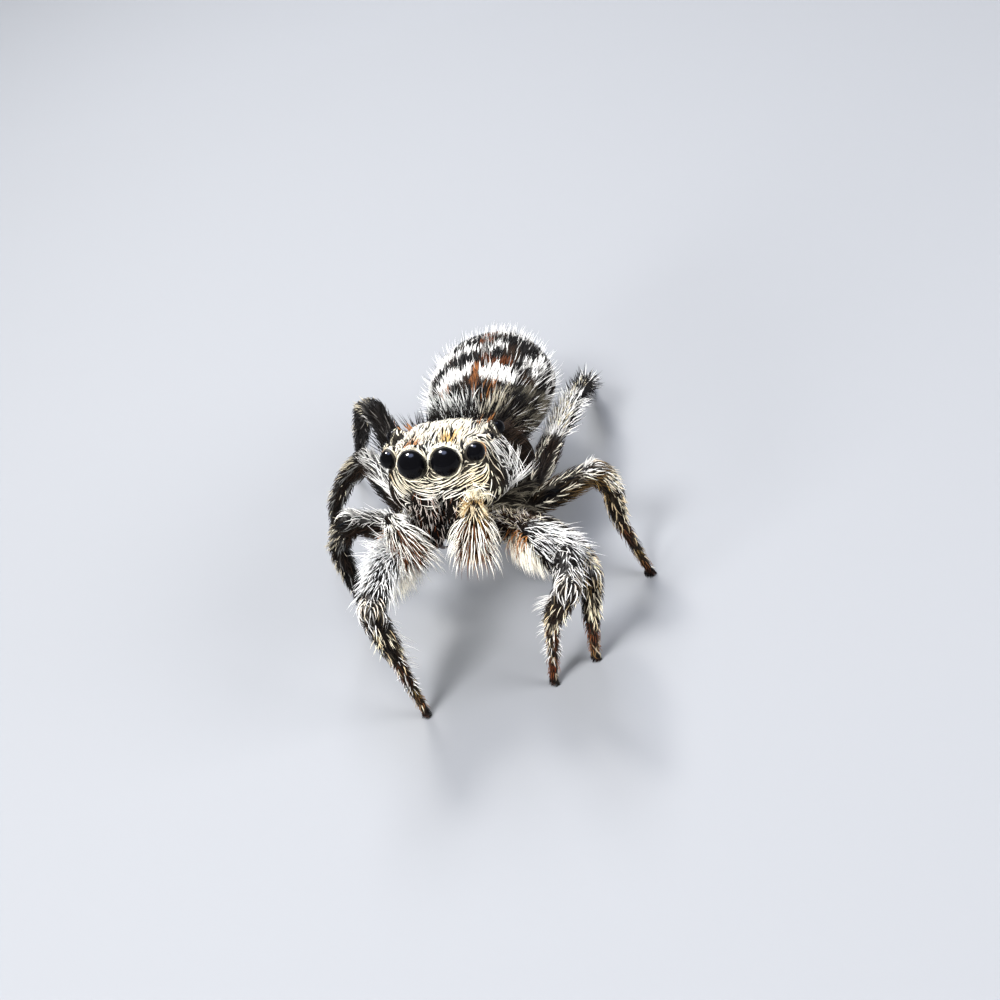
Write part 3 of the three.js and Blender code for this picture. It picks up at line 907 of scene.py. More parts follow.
def leg_marks(leg, part, t, angle, p):
    """Colour of a leg's coat by segment, share of its length and angle round it."""
    dorsal, front = np.cos(angle), np.sin(angle)
    patch = 0.5 + 0.5 * wobble(p, 6.0, 31)
    fine = 0.5 + 0.5 * wobble(p, 14.0, 32)
    stripe = smooth(0.5 + 0.5 * np.sin(angle * 5 + 2.5 * patch), 0.72, 0.9)
    dark = BLACK * 1.3
    brown = mixed(dark, BROWN * 0.9, patch)
    if leg == "R4" and part in ("femur", "patella", "tibia"):
        return mixed(dark, BROWN + GREY * 0.3, smooth(fine, 0.65, 0.9) * 0.7)
    if leg[1] == "4" and part in ("patella", "tibia", "metatarsus"):
        darker = {"patella": smooth(fine, 0.42, 0.55), "tibia": smooth(t + 0.3 * patch, 0.4, 0.48)}
        return mixed(WHITE * 0.95, BLACK, darker.get(part, smooth(fine, 0.85, 0.7)))
    if leg[1] == "1" and part in ("coxa", "femur", "patella"):
        return front_leg_marks(leg, part, t, dorsal, front, fine)
    if part == "coxa":
        return mixed(dark, CREAM * 0.7, 0.5 * patch)
    if part == "femur":
        base = mixed(brown, BROWN + GOLD * 0.10, patch) if leg == "L3" else brown
        colour = mixed(base, mix(CREAM, WHITE, 0.3) * 0.85, stripe * smooth(dorsal, -0.5, 0.3))
        # Partly painted shade: the second and third right legs keep white only on the femur's top. Below it
        # they are dark brown, their own brown deepened as shade on the underside.
        if leg in ("R2", "R3"):
            colour = mixed(brown, WHITE * 0.95, smooth(dorsal, 0.45, 0.8))
        return mixed(colour, WHITE * 0.9, near(t, 0.97, 0.08) * smooth(dorsal, 0.2, 0.7))
    # Partly painted shade: beyond the femur these two legs are darker than the others, their own dark brown
    # deepened as shade.
    if leg in ("R2", "R3"):
        return mixed(brown * 0.7, GREY * 0.6, stripe * 0.4)
    if part == "patella":
        colour = mixed(brown, GOLD * 0.8, smooth(fine, 0.6, 0.8) * 0.8)
        return mixed(colour, WHITE * 0.9, smooth(dorsal, 0.4, 0.9) * smooth(fine, 0.4, 0.6))
    if leg == "L2" and part == "tibia":
        colour = mixed(brown * 0.6, CREAM * 0.8, stripe * smooth(fine, 0.5, 0.7))
        return mixed(colour, mix(CREAM, GOLD, 0.3), smooth(dorsal, 0.55, 0.9) * smooth(fine, 0.3, 0.5))
    if part == "tibia":
        if leg[1] == "1":
            stripe = stripe * smooth(fine, 0.35, 0.6)
        colour = mixed(brown * 0.9, mix(GOLD, CREAM, 0.45) * 0.85, stripe * 0.9)
        return mixed(colour, CREAM, near(t, 1.0, 0.06) * 0.8 * smooth(fine, 0.5, 0.7))
    if part == "metatarsus":
        colour = mixed(brown, RUST * (2.2 if leg == "L2" else 1.2), patch * 0.7)
        colour = mixed(colour, mix(GOLD, CREAM, 0.5), smooth(fine, 0.68, 0.85) * 0.85)
        return mixed(colour, BROWN * 0.4, near(t, 0.9, 0.12) * 0.8)
    colour = mixed(GOLD * 0.30, RUST * 1.2, patch)
    colour = mixed(colour, CREAM * 0.7, smooth(fine, 0.7, 0.9) * 0.6)
    return mixed(colour, SOOT, smooth(t, 0.75, 0.92))


def palp_marks(side, part, t, p):
    """Colour of a palp's coat: warm on the left one, black and white on the right one."""
    fine = 0.5 + 0.5 * wobble(p, 12.0, 41)
    if side == "L":
        colour, brush = mixed(mix(GOLD, BROWN, 0.45), CREAM, smooth(fine, 0.5, 0.7) * 0.8), ORANGE * 0.5
    else:
        colour, brush = mixed(WHITE, BLACK, smooth(fine, 0.35, 0.5)), BROWN
    return colour if part == "arm" else mixed(colour, brush, smooth(t, 0.25, 0.45) * 0.7)


def part_marks(name, p, normal):
    """The marking colour of any part of the skin."""
    if name == "carapace":
        pale, amount = head_marks(p, normal)
        return mixed(BLACK, pale, amount * 0.9)
    if name == "abdomen":
        return abdomen_marks(p)
    if name.startswith("jaw"):
        return BROWN * 0.8
    if name in ("sternum", "mouth", "spinnerets"):
        return BROWN
    if name.startswith("palp"):
        _, part, side = name.split("_")
        return palp_marks(side, part, PALP[side][part].place(p)[0], p)
    part, leg = name.split("_")
    return leg_marks(leg, part, *LEG[leg][part].place(p), p)


# ---------------------------------------------------------------- materials


def new_material(name, roughness, specular):
    material = bpy.data.materials.new(name)
    material.use_nodes = True
    tree = material.node_tree
    shader = tree.nodes["Principled BSDF"]
    shader.inputs["Roughness"].default_value = roughness
    shader.inputs["Specular IOR Level"].default_value = specular
    return material, tree, shader


def noise_node(tree, scale, detail):
    """Fine noise in the object's own place."""
    place = tree.nodes.new("ShaderNodeTexCoord")
    noise = tree.nodes.new("ShaderNodeTexNoise")
    noise.inputs["Scale"].default_value = scale
    noise.inputs["Detail"].default_value = detail
    tree.links.new(place.outputs["Object"], noise.inputs["Vector"])
    return noise


def broken_tint(tree, shader, noise, noise_range, brightness):
    """Colours a piece by its Tint, made brighter and darker by noise."""
    nodes, links = tree.nodes, tree.links
    tint = nodes.new("ShaderNodeVertexColor")
    tint.layer_name = "Tint"
    ramp = nodes.new("ShaderNodeMapRange")
    for socket, value in zip(("From Min", "From Max", "To Min", "To Max"), (*noise_range, *brightness)):
        ramp.inputs[socket].default_value = value
    links.new(noise.outputs["Fac"], ramp.inputs["Value"])
    multiply = nodes.new("ShaderNodeVectorMath")
    multiply.operation = "SCALE"
    links.new(tint.outputs["Color"], multiply.inputs[0])
    links.new(ramp.outputs["Result"], multiply.inputs["Scale"])
    links.new(multiply.outputs["Vector"], shader.inputs["Base Color"])


def coat_material(name, roughness):
    """Hair: its own tint, broken by fine noise, with a faint gloss."""
    material, tree, shader = new_material(name, roughness, 0.05)
    broken_tint(tree, shader, noise_node(tree, 9000, 2), (0.3, 0.7), (0.78, 1.12))
    return material


def skin_material():
    """Dark cuticle with fine fur as bump, carrying the coat's markings."""
    material, tree, shader = new_material("skin", 0.5, 0.05)
    noise = noise_node(tree, 14000, 4)
    broken_tint(tree, shader, noise, (0, 1), (0.6, 1.4))
    bump = tree.nodes.new("ShaderNodeBump")
    bump.inputs["Strength"].default_value = 0.5
    bump.inputs["Distance"].default_value = 0.00002
    tree.links.new(noise.outputs["Fac"], bump.inputs["Height"])
    tree.links.new(bump.outputs["Normal"], shader.inputs["Normal"])
    return material


def gloss_material(name, dark, light, roughness, coat, specular):
    """A hard glossy surface, very slightly uneven, such as an eye's lens or a fang."""
    material, tree, shader = new_material(name, roughness, specular)
    noise = noise_node(tree, 2500, 2)
    ramp = tree.nodes.new("ShaderNodeValToRGB")
    for element, colour in zip(ramp.color_ramp.elements, (dark, light)):
        element.color = (*colour, 1)
    tree.links.new(noise.outputs["Fac"], ramp.inputs["Fac"])
    tree.links.new(ramp.outputs["Color"], shader.inputs["Base Color"])
    shader.inputs["Coat Weight"].default_value = coat
    shader.inputs["Coat Roughness"].default_value = 0.015
    return material


FINE_COAT = coat_material("coat_fine", 0.5)
SOFT_COAT = coat_material("coat_soft", 0.6)
SKIN_LOOK = skin_material()
EYE_LOOK = gloss_material("eye_lens", (0.0012, 0.0012, 0.0014), (0.002, 0.002, 0.003), 0.14, 0.0, 0.10)
HORN_LOOK = gloss_material("horn", (0.035, 0.012, 0.005), (0.07, 0.025, 0.01), 0.22, 1.0, 0.35)

# ---------------------------------------------------------------- skin piece


def skin_piece():
    tint = np.zeros_like(SKIN)
    for index, name in enumerate(PART_NAMES):
        mine = SKIN_PART == index
        tint[mine] = part_marks(name, SKIN[mine], POINT_NORMAL[mine])
    return tinted_piece("skin", SKIN, SKIN_TRIS, SKIN_BASE + tint * SKIN_SHARE, SKIN_LOOK)


skin = skin_piece()
flesh = [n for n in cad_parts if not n.startswith(("eye_", "fang_"))]
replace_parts(skin, *flesh)

# ---------------------------------------------------------------- eyes, fangs and claws

hard_pieces = []


def hard_piece(name, shape, material):
    """A smooth separate piece from corners and faces, such as a lens or a claw."""
    points, faces = shape
    mesh = plain_mesh(name, points * MM, faces)
    mesh.polygons.foreach_set("use_smooth", np.ones(len(mesh.polygons), bool))
    mesh.materials.append(material)
    piece = placed(name, mesh)
    hard_pieces.append(piece)
    return piece


def eyes():
    points, faces = sphere_grid(64, 40)
    for label, (centre, radius, _) in EYE_FACTS.items():
        lens = hard_piece(f"lens_{label}", (points * radius + centre, faces), EYE_LOOK)
        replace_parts(lens, f"eye_{label}")


def fangs():
    for side, sign in (("L", 1), ("R", -1)):
        mirror = np.array([sign, 1, 1])
        shifts = ((0.07, -0.04, 0.14), (0.05, -0.03, -0.06), (-0.05, 0.12, -0.10))
        curve = bowed(*(box_centre(f"fang_{side}") + np.array(shift) * mirror for shift in shifts), 9)
        shape = tube(curve, np.linspace(0.085, 0.012, 9), 14)
        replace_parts(hard_piece(f"fang_horn_{side}", shape, HORN_LOOK), f"fang_{side}")


CLAW_LENGTH = 0.13


def claws():
    for leg in LEGS:
        tarsus = LEG[leg]["tarsus"]
        ahead = unit(tarsus.along * LEVEL + tarsus.dorsal * (0.4 * LEVEL))
        for index, spread in ((1, -1), (2, 1)):
            base = tarsus.end + tarsus.front * 0.03 * spread + np.array([0, 0, 0.01])
            knee = base + ahead * CLAW_LENGTH * 0.7 + np.array([0, 0, 0.03])
            end = base + ahead * CLAW_LENGTH + np.array([0, 0, -0.06])
            shape = tube(bowed(base, knee, end, 7), np.linspace(0.022, 0.005, 7), 8)
            hard_piece(f"claw_{leg}_{index}", shape, HORN_LOOK)


eyes()
fangs()
claws()

# ---------------------------------------------------------------- unwraps


def disc_unwrap(middle, first, second, centre):
    """Unrolls a rounded body onto a disc whose middle is its centre direction."""

    def unwrap(p):
        d = unit(p - middle)
        polar = np.arccos(np.clip(d @ centre, -1, 1)) / math.pi
        turn = np.arctan2(d @ second, d @ first)
        return np.stack([0.5 + 0.5 * polar * np.cos(turn), 0.5 + 0.5 * polar * np.sin(turn)], 1)

    return unwrap


def limb_unwrap(segments):
    """Unrolls a limb: round it in one direction, along it in the other."""
    parts = list(segments)

    def unwrap(p):
        best = np.full(len(p), 1e9)
        out = np.zeros((len(p), 2))
        for i, part in enumerate(parts):
            t, angle = part.place(p)
            inside = np.clip(t, 0, 1)
            gap = np.linalg.norm(p - (part.start + inside[:, None] * (part.end - part.start)), axis=1)
            mine = gap < best
            out[mine, 0] = (angle[mine] + math.pi) / (2 * math.pi)
            out[mine, 1] = (i + inside[mine]) / len(parts)
            best = np.minimum(best, gap)
        return out

    return unwrap


HEAD_MIDDLE = from_head(np.array([0, 1.3, -0.5]))
face_unwrap = disc_unwrap(HEAD_MIDDLE, SIDE, UP, -BACK)
top_unwrap = disc_unwrap(HEAD_MIDDLE, SIDE, BACK, UP)
belly_unwrap = disc_unwrap(from_head(np.array([0, 2.0, -1.6])), SIDE, BACK, -UP)
abdomen_unwrap = disc_unwrap(ABDOMEN_MIDDLE, ABDOMEN_AXES[0], ABDOMEN_AXES[1], ABDOMEN_AXES[2])

# ---------------------------------------------------------------- the face and crown


def round_eyes(p, flow):
    """Bends a flow round the eyes, as the coat parts round them."""
    for centre, radius, look in EYE_FACTS.values():
        d = p - centre
        d = d - (d @ look)[:, None] * look
        gap = np.linalg.norm(d, axis=1)
        ray = d / np.maximum(gap, 1e-6)[:, None]
        weight = smooth(gap, radius + 0.17, radius + 0.03)
        inward = np.sum(flow * ray, axis=1)
        flow = flow - ray * (inward * weight)[:, None]
        flow = flow + ray * (0.10 * weight)[:, None]
    return flow


# The lie of the coat on the head, as lines along the hairs in its own frame (side, back, up).
COMBING_BOTH = (
    ((0.1, 0.5, 0.42), (0.08, 1.9, 0.35)),
    ((0.8, 0.6, 0.36), (0.85, 1.8, 0.30)),
    ((0.0, -0.05, -0.3), (0.0, -0.02, 0.0), (0.0, 0.2, 0.4)),
    ((0.4, 0.0, 0.38), (0.38, 0.6, 0.44)),
    ((0.8, 0.45, 0.27), (0.98, 0.9, 0.25), (1.2, 0.97, 0.08), (1.3, 0.86, -0.12)),
    ((1.25, 0.6, -0.08), (1.47, 1.02, -0.7), (1.62, 1.1, -1.3)),
    ((1.3, 0.68, -0.28), (1.5, 0.94, -1.1), (1.55, 0.95, -1.5)),
    ((1.34, 1.57, -0.07), (1.53, 1.6, -0.48), (1.64, 1.47, -1.1), (1.7, 1.5, -1.6)),
    ((1.2, 2.3, 0.1), (1.7, 2.4, -0.6), (1.8, 2.6, -1.3)),
)
COMBING_LEFT = (
    ((1.3, 0.55, -0.33), (1, 0.2, -0.27), (0.8, 0, -0.27), (0.55, -0.06, -0.42), (0.17, -0.09, -0.44)),
    ((0.17, -0.09, -0.44), (-0.3, -0.09, -0.48)),
    ((1.28, 0.45, -0.52), (0.95, 0.1, -0.42), (0.6, 0, -0.55), (0.25, 0.05, -0.72), (-0.05, 0.15, -0.85)),
    ((1.22, 0.4, -0.68), (0.9, 0.1, -0.62), (0.5, 0.12, -0.85), (0.2, 0.3, -1.06), (-0.05, 0.42, -1.2)),
    ((1.1, 0.40, -0.95), (0.9, 0.25, -0.88), (0.6, 0.35, -1.1), (0.3, 0.45, -1.28), (0.02, 0.5, -1.36)),
    ((1.34, 0.55, -0.45), (1.33, 0.50, -0.8), (1.22, 0.5, -1.1), (1.1, 0.5, -1.35)),
)
COMBING_RIGHT = (
    (
        (-0.12, 0.5, -1.38), (-0.45, 0.45, -1.28), (-0.7, 0.3, -1.08), (-0.87, 0.14, -0.74),
        (-0.95, 0.07, -0.35),
    ),
    ((0.1, 0.38, -1.16), (-0.1, 0.35, -1.17), (-0.42, 0.2, -1), (-0.66, 0.05, -0.75), (-0.72, -0.02, -0.42)),
    ((0.1, 0.12, -0.84), (-0.12, 0.1, -0.84), (-0.36, 0.0, -0.66), (-0.5, -0.05, -0.44)),
    ((-1.28, 0.4, -0.25), (-1.33, 0.5, -0.8), (-1.2, 0.7, -1.3)),
)
COMB_REACH = 0.14


def combing():
    """Places on the head, and the coat's direction at each, from points spread along the combed lines."""
    spots, ways = [], []
    lines = [np.array(line) for line in COMBING_LEFT + COMBING_RIGHT]
    lines += [np.array(line) * (sign, 1, 1) for line in COMBING_BOTH for sign in (1, -1)]
    for line in lines:
        world = from_head(line)
        for a, b in zip(world, world[1:]):
            spots.extend(a + (b - a) * t for t in (0.0, 0.33, 0.67, 1.0))
            ways.extend([unit(b - a)] * 4)
    return np.array(spots), np.array(ways)


COMB_SPOTS, COMB_WAYS = combing()


def head_flow(p, normal):
    """The lie of the coat on the carapace: the nearest combed lines, and far from them back and down."""
    top = smooth(normal @ UP, 0.30, 0.75)
    plain = unit(BACK * top[:, None] + (0.45 * BACK - UP) * (1 - top)[:, None])
    away = np.linalg.norm(p[:, None, :] - COMB_SPOTS[None, :, :], axis=2)
    weight = np.exp(-((away / COMB_REACH) ** 2) / 2)
    flow = unit(weight @ COMB_WAYS + 0.02 * plain)
    return round_eyes(p, flow)


def clear_of_eyes(lines):
    """True for hairs that leave the face of every eye but the tiny middle pair free."""
    good = np.ones(len(lines), bool)
    for label, (centre, radius, look) in EYE_FACTS.items():
        if label.startswith("PME"):
            continue
        d = lines - centre
        ahead = d @ look
        gap = np.linalg.norm(d - ahead[..., None] * look, axis=2)
        inside = (gap < radius * 0.95) & (ahead > -radius * 0.8) & (ahead < radius * 3)
        good &= ~inside.any(axis=1)
    return good


def clear_root(p):
    """True for roots outside every eye."""
    good = np.ones(len(p), bool)
    for centre, radius, _ in EYE_FACTS.values():
        good &= np.linalg.norm(p - centre, axis=1) > radius * 1.02
    return good


HEAD_SPLIT = 1.3  # how far back the face's piece ends and the crown's starts


def front_half(p):
    return (to_head(p)[1] < HEAD_SPLIT).astype(float)


def rear_half(p):
    return 1 - front_half(p)


def head_roots(density, half):
    p, normal = scatter(part_ids("carapace"), density, half)
    keep = clear_root(p)
    return p[keep], normal[keep]


def head_under(coat, half):
    """Short dark hairs close to the skin."""
    p, normal = head_roots(110, half)
    n = len(p)
    dark = tinted(mixed(BLACK, BROWN, rng.random(n) ** 2))
    lines = lying(p, normal, head_flow, varied(n, 0.16, 0.34), varied(n, 0.010, 0.03), steps=4)
    good = clear_of_eyes(lines)
    coat.add(lines[good], normal[good], 0.026, dark[good])


def head_pelt(coat, half):
    """The combed coat in view, with the head's markings and some dark hairs among the pale ones."""
    p, normal = head_roots(620, half)
    n = len(p)
    gaps = np.array([np.linalg.norm(p - c, axis=1) - r for c, r, _ in EYE_FACTS.values()]).min(axis=0)
    length = varied(n, 0.45, 0.95) * mix(0.5, 1.0, smooth(gaps, 0.0, 0.35))
    length[int(n * 0.65) :] *= 0.4
    across, depth, _ = to_head(p)
    edge = smooth(np.abs(across), 1.15, 1.4) * smooth(depth, 1.8, 1.5)
    length *= 1 - 0.45 * edge
    height = varied(n, 0.03, 0.07) * (1 - 0.6 * edge)
    lines = lying(p, normal, head_flow, length, height, stray=0.07, curl=0.12, steps=8)
    lines = lines[clear_of_eyes(lines)]
    lines = lines[spaced(lines, 0.045, 0.5)]
    middle, facing = on_skin(lines[:, 3])
    pale, amount = head_marks(middle, facing)
    on_top = smooth(facing @ UP, 0.35, 0.7)
    keep = rng.random(len(lines)) < np.maximum(amount, 0.75)
    dim = rng.random(len(lines)) > amount
    pale = np.where(dim[:, None], mix(BLACK, BROWN, 0.25), pale)
    dull = rng.random(len(lines)) < mix(0.07, 0.13, on_top)
    pale = np.where(dull[:, None], SOOT, pale)
    width = varied(len(lines), 0.034, 0.048) * mix(1.0, 1.55, on_top)
    coat.add(lines[keep], facing[keep], width[keep], tinted(pale[keep], spread=0.1), shade=0.85)


def head_strays(coat, half):
    """A few dark hairs that rise above the coat."""
    p, normal = head_roots(10, half)
    n = len(p)
    length, height = varied(n, 0.3, 0.5), varied(n, 0.08, 0.13)
    dark = tinted(SOOT, n)
    lines = lying(p, normal, head_flow, length, height, stray=0.25, steps=6)
    good = clear_of_eyes(lines)
    coat.add(lines[good], normal[good], 0.022, dark[good])


def head_coats():
    face = Coat("coat_face", face_unwrap)
    crown = Coat("coat_carapace", top_unwrap)
    for coat, half in ((face, front_half), (crown, rear_half)):
        head_under(coat, half)
        head_pelt(coat, half)
        head_strays(coat, half)
    return face, crown


def eye_rings(coat):
    """Short hairs laid in a ring round each of the large eyes."""
    for name, (centre, radius, look) in EYE_FACTS.items():
        kind = name.split("_")[0]
        if kind == "PME":
            continue
        across = unit(np.cross(look, UP))
        rise = np.cross(across, look)
        count = int(radius * (400 if kind == "AME" else 260))
        start = rng.uniform(0, 2 * np.pi, count)
        span = varied(count, 0.45, 0.8)
        s = np.linspace(0, 1, 6)
        angle = start[:, None] + span[:, None] * s[None, :]
        ring = radius + 0.008 + 0.032 * rng.random(count)
        depth = -0.05 + 0.06 * rng.random(count) - 0.6 * (ring - radius)
        out = (ring[:, None] + 0.012 * np.sin(np.pi * s)[None, :])[..., None]
        ray = np.cos(angle)[..., None] * across + np.sin(angle)[..., None] * rise
        lines = centre + ray * out + look * (depth[:, None] + 0.02 * s[None, :])[..., None]
        normals = unit(ray.mean(axis=1) + look * 0.7)
        outer = smooth(ray.mean(axis=1) @ SIDE * np.sign(look @ SIDE), 0.2, 0.9)
        colour = mixed(CREAM * 0.9, ORANGE if kind == "ALE" else CREAM, outer)
        coat.add(lines, normals, varied(count, 0.014, 0.022), tinted(colour, spread=0.35))


def near_place(centre, spread, count):
    """Roots on the skin scattered round a place on the head, and the skin's direction there."""
    return on_skin(from_head(np.array(centre) + rng.normal(0, 1, (count, 3)) * np.array(spread)))


def stand_out(coat, count, centre, spread, start, end, length, width, colour, jitter):
    """Loose bristles from a patch of the head, leaving along start and bending to end."""
    roots, normals = near_place(centre, spread, count)
    first, last = (unit(way @ HEAD_AXES) + rng.normal(0, jitter, (count, 3)) for way in (start, end))
    lines = standing(roots, first, last, varied(count, *length))
    good = clear_of_eyes(lines) & clear_root(roots)
    coat.add(lines[good], normals[good], varied(count, *width)[good], tinted(colour, count)[good], flat=0.9)


# Bristles of the head's left side, mirrored for its right: the piece, how many, where, how far they
# scatter, the ways they leave and end, length, width, colour and disorder.
BRISTLES = (
    ("crown", 30, (1.15, 1.6, 0.35), (0.12, 0.35, 0.05), (0.5, 0.1, 1.0), (0.7, 0.7, 0.6),
     (0.4, 0.75), (0.018, 0.026), BLACK * 1.6, 0.18),
    ("crown", 16, (1.62, 1.5, -0.9), (0.03, 0.10, 0.12), (0.5, 0.1, 0.9), (0.2, 0.1, 1.0),
     (0.45, 0.7), (0.016, 0.022), WHITE, 0.16),
    ("crown", 18, (1.68, 1.4, -1.4), (0.03, 0.10, 0.08), (0.85, 0.1, 0.5), (0.75, 0.2, 0.8),
     (0.65, 1.05), (0.016, 0.022), WHITE, 0.13),
    ("crown", 22, (1.0, 1.8, 0.33), (0.09, 0.07, 0.03), (0.3, -0.3, 1.0), (0.6, 0.3, 0.6),
     (0.2, 0.34), (0.022, 0.03), mix(ORANGE, BROWN, 0.35), 0.2),
    ("crown", 90, (0.5, 2.45, 0.3), (0.35, 0.16, 0.03), (0.0, 0.0, 1.0), (0.1, 0.6, 0.8),
     (0.3, 0.6), (0.018, 0.028), BLACK * 1.6, 0.2),
    ("crown", 70, (1.4, 2.2, -0.3), (0.12, 0.3, 0.3), (0.8, 0.3, 0.4), (0.6, 0.9, 0.2),
     (0.3, 0.5), (0.016, 0.024), BROWN, 0.2),
    ("face", 14, (0.6, 0.35, 0.34), (0.25, 0.15, 0.03), (0.0, -0.3, 1.0), (0.0, 0.9, 0.7),
     (0.25, 0.5), (0.016, 0.022), BLACK * 1.6, 0.18),
)
BROW = (
    (1.25, 0.75, 0.25), (0.08, 0.35, 0.06), (0.55, -0.15, 1.0), (0.9, 0.35, 0.8),
    (0.5, 0.95), (0.018, 0.028), BLACK * 1.6, 0.18,
)


def head_bristles(face, crown):
    """The standing bristles. The black brow is much thicker on the right side, as in the photo."""
    for sign, brow_count in ((1, 12), (-1, 46)):
        mirror = np.array([sign, 1, 1])
        for which, count, centre, spread, start, end, *more in (("face", brow_count, *BROW), *BRISTLES):
            coat = face if which == "face" else crown
            stand_out(coat, count, centre * mirror, spread, start * mirror, end * mirror, *more)


def cheek_curls(coat):
    """A tangle of short bent hairs beside the left palp."""
    count = 48
    roots, normals = near_place((0.95, 0.3, -1.0), (0.16, 0.12, 0.12), count)
    loose = rng.normal(0, 1, (count, 3))
    first = normals * 0.8 + loose * 0.6
    last = unit(np.cross(loose, normals)) + np.array([0, -0.2, -1.0]) * 0.6 - normals * 0.3
    lines = standing(roots, first, last, varied(count, 0.25, 0.45), 7)
    good = clear_of_eyes(lines)
    coat.add(lines[good], normals[good], 0.034, tinted(CREAM, count, 0.25)[good], flat=0.9, shade=0.7)


# ---------------------------------------------------------------- the abdomen


def along_skin(way, normal):
    """A direction laid flat on the skin."""
    return way - normal * (normal @ way)[:, None]


def abdomen_flow(p, normal):
    """Backwards, drawn up at the front, where the coat leaves the waist, and down at the rear."""
    back = to_abdomen(p)[1]
    down = 0.5 * smooth(back, 0.80, 0.95)[:, None] * along_skin(np.array([0, 0, -1.0]), normal)
    up = 0.9 * smooth(back, -0.8, -0.95)[:, None] * along_skin(ABDOMEN_AXES[2], normal)
    return unit(along_skin(ABDOMEN_AXES[1], normal) + down + up)


def abdomen_density(p):
    """Thinner below, where the coat is out of view."""
    return 0.55 + 0.45 * smooth(to_abdomen(p)[2], -0.3, 0.2)


def silver_density(p):
    """The long standing hairs: most on the flanks and the rear."""
    side, back, _ = to_abdomen(p)
    share = 0.3 + 0.7 * np.maximum(smooth(np.abs(side), 0.6, 0.85), smooth(back, 0.1, 0.4))
    return abdomen_density(p) * share


def abdomen_coat():
    coat = Coat("coat_abdomen", abdomen_unwrap)
    ids = part_ids("abdomen")
    p, normal = scatter(ids, 55, abdomen_density)
    n = len(p)
    colour = tinted(abdomen_marks(p) * 0.5, spread=0.2)
    under = lying(p, normal, abdomen_flow, varied(n, 0.25, 0.4), varied(n, 0.03, 0.07), 0.25, 0.3, 4)
    coat.add(under, normal, varied(n, 0.06, 0.09), colour)

    p, normal = scatter(ids, 480, abdomen_density)
    n = len(p)
    apron = smooth(to_abdomen(p)[1], -0.58, -0.70)
    length = mix(varied(n, 0.28, 0.46), varied(n, 0.5, 0.85), apron)
    height = mix(varied(n, 0.06, 0.14), varied(n, 0.10, 0.22), apron)
    lines = lying(p, normal, abdomen_flow, length, height, 0.10, 0.25, 5)
    kept = spaced(lines, 0.047, 0.6)
    lines, normal, apron = lines[kept], normal[kept], apron[kept]
    n = len(lines)
    # Painted shade: more dark streaks in the apron on the left side, the side in shade.
    left = smooth(to_abdomen(lines[:, 0])[0], 0.2, 0.5)
    streak = (rng.random(n) < 0.42 + 0.22 * left) & (rng.random(n) < apron)
    colour = tinted(np.where(streak[:, None], SOOT, abdomen_marks(lines[:, 2])), spread=0.15)
    coat.add(lines, normal, varied(n, 0.055, 0.085) * mix(1.0, 0.6, apron), colour, shade=0.75)

    p, normal = scatter(ids, 56, silver_density)
    n = len(p)
    flow = abdomen_flow(p, normal)
    start = normal * 1.0 + flow * 0.3 + rng.normal(0, 0.15, (n, 3))
    end = normal * 0.6 + flow + rng.normal(0, 0.15, (n, 3))
    pale = rng.random(n) < 0.85
    lines = standing(p, start, end, varied(n, 0.32, 0.62), 5)
    width = varied(n, 0.010, 0.015)
    coat.add(lines, normal, width, tinted(np.where(pale[:, None], WHITE * 0.95, SOOT)), flat=0.9)
    return coat


# ---------------------------------------------------------------- legs

HAIRS = {  # density a square mm, length, height and width of the lying coat of each segment
    "coxa": (90, (0.22, 0.40), (0.05, 0.11), (0.026, 0.04)),
    "femur": (120, (0.30, 0.52), (0.06, 0.13), (0.028, 0.045)),
    "patella": (140, (0.26, 0.46), (0.06, 0.12), (0.028, 0.045)),
    "tibia": (150, (0.24, 0.42), (0.05, 0.11), (0.026, 0.042)),
    "metatarsus": (170, (0.20, 0.34), (0.04, 0.09), (0.022, 0.036)),
    "tarsus": (200, (0.15, 0.26), (0.04, 0.09), (0.020, 0.032)),
}


def segment_flow(part, after=None, before=None):
    """Along a segment, turning half way to its neighbour's direction at each joint."""

    def flow(p, normal):
        way = np.tile(part.along, (len(p), 1))
        t, _ = part.place(p)
        if after is not None:
            way = mixed(way, unit(part.along + after.along), smooth(t, 0.6, 1.0))
        if before is not None:
            way = mixed(way, unit(before.along + part.along), smooth(t, 0.45, 0.0))
        return unit(way)

    return flow


ABOVE_FLOOR = 0.01  # the lowest that the middle of a free hair comes


def segment_strays(coat, part, ids):
    """A few hairs that stand above a segment's coat."""
    p, normal = scatter(ids, 7)
    n = len(p)
    pale = rng.random(n) < 0.35
    colour = tinted(np.where(pale[:, None], CREAM * 0.9, BLACK * 1.4))
    start = normal + part.along * 0.5 + rng.normal(0, 0.15, (n, 3))
    end = normal * 0.5 + part.along + rng.normal(0, 0.15, (n, 3))
    lines = standing(p, start, end, varied(n, 0.14, 0.24))
    lines[..., 2] = np.maximum(lines[..., 2], ABOVE_FLOOR)
    coat.add(lines, normal, varied(n, 0.014, 0.022), colour, flat=0.9)


def foot_pad(coat, tarsus):
    """The brush of short black hairs that a foot stands on."""
    count = 190
    around = varied(count, 0, 2 * np.pi)
    guess, ray = tarsus.surface(varied(count, 0.86, 1.0), around)
    roots, _ = on_skin(guess)
    spread = 0.16 * np.sqrt(rng.random((count, 1)))
    out = np.stack([np.cos(around), np.sin(around), np.zeros(count)], 1)
    ends = tarsus.end * LEVEL + out * spread
    s = np.linspace(0, 1, 4)[None, :, None]
    lines = roots[:, None] * (1 - s) + ends[:, None] * s + ray[:, None] * 0.04 * np.sin(np.pi * s)
    coat.add(lines, unit(ray + np.array([0, 0, 0.3])), 0.026, tinted(BLACK * 2.0, count), tip=0.5)


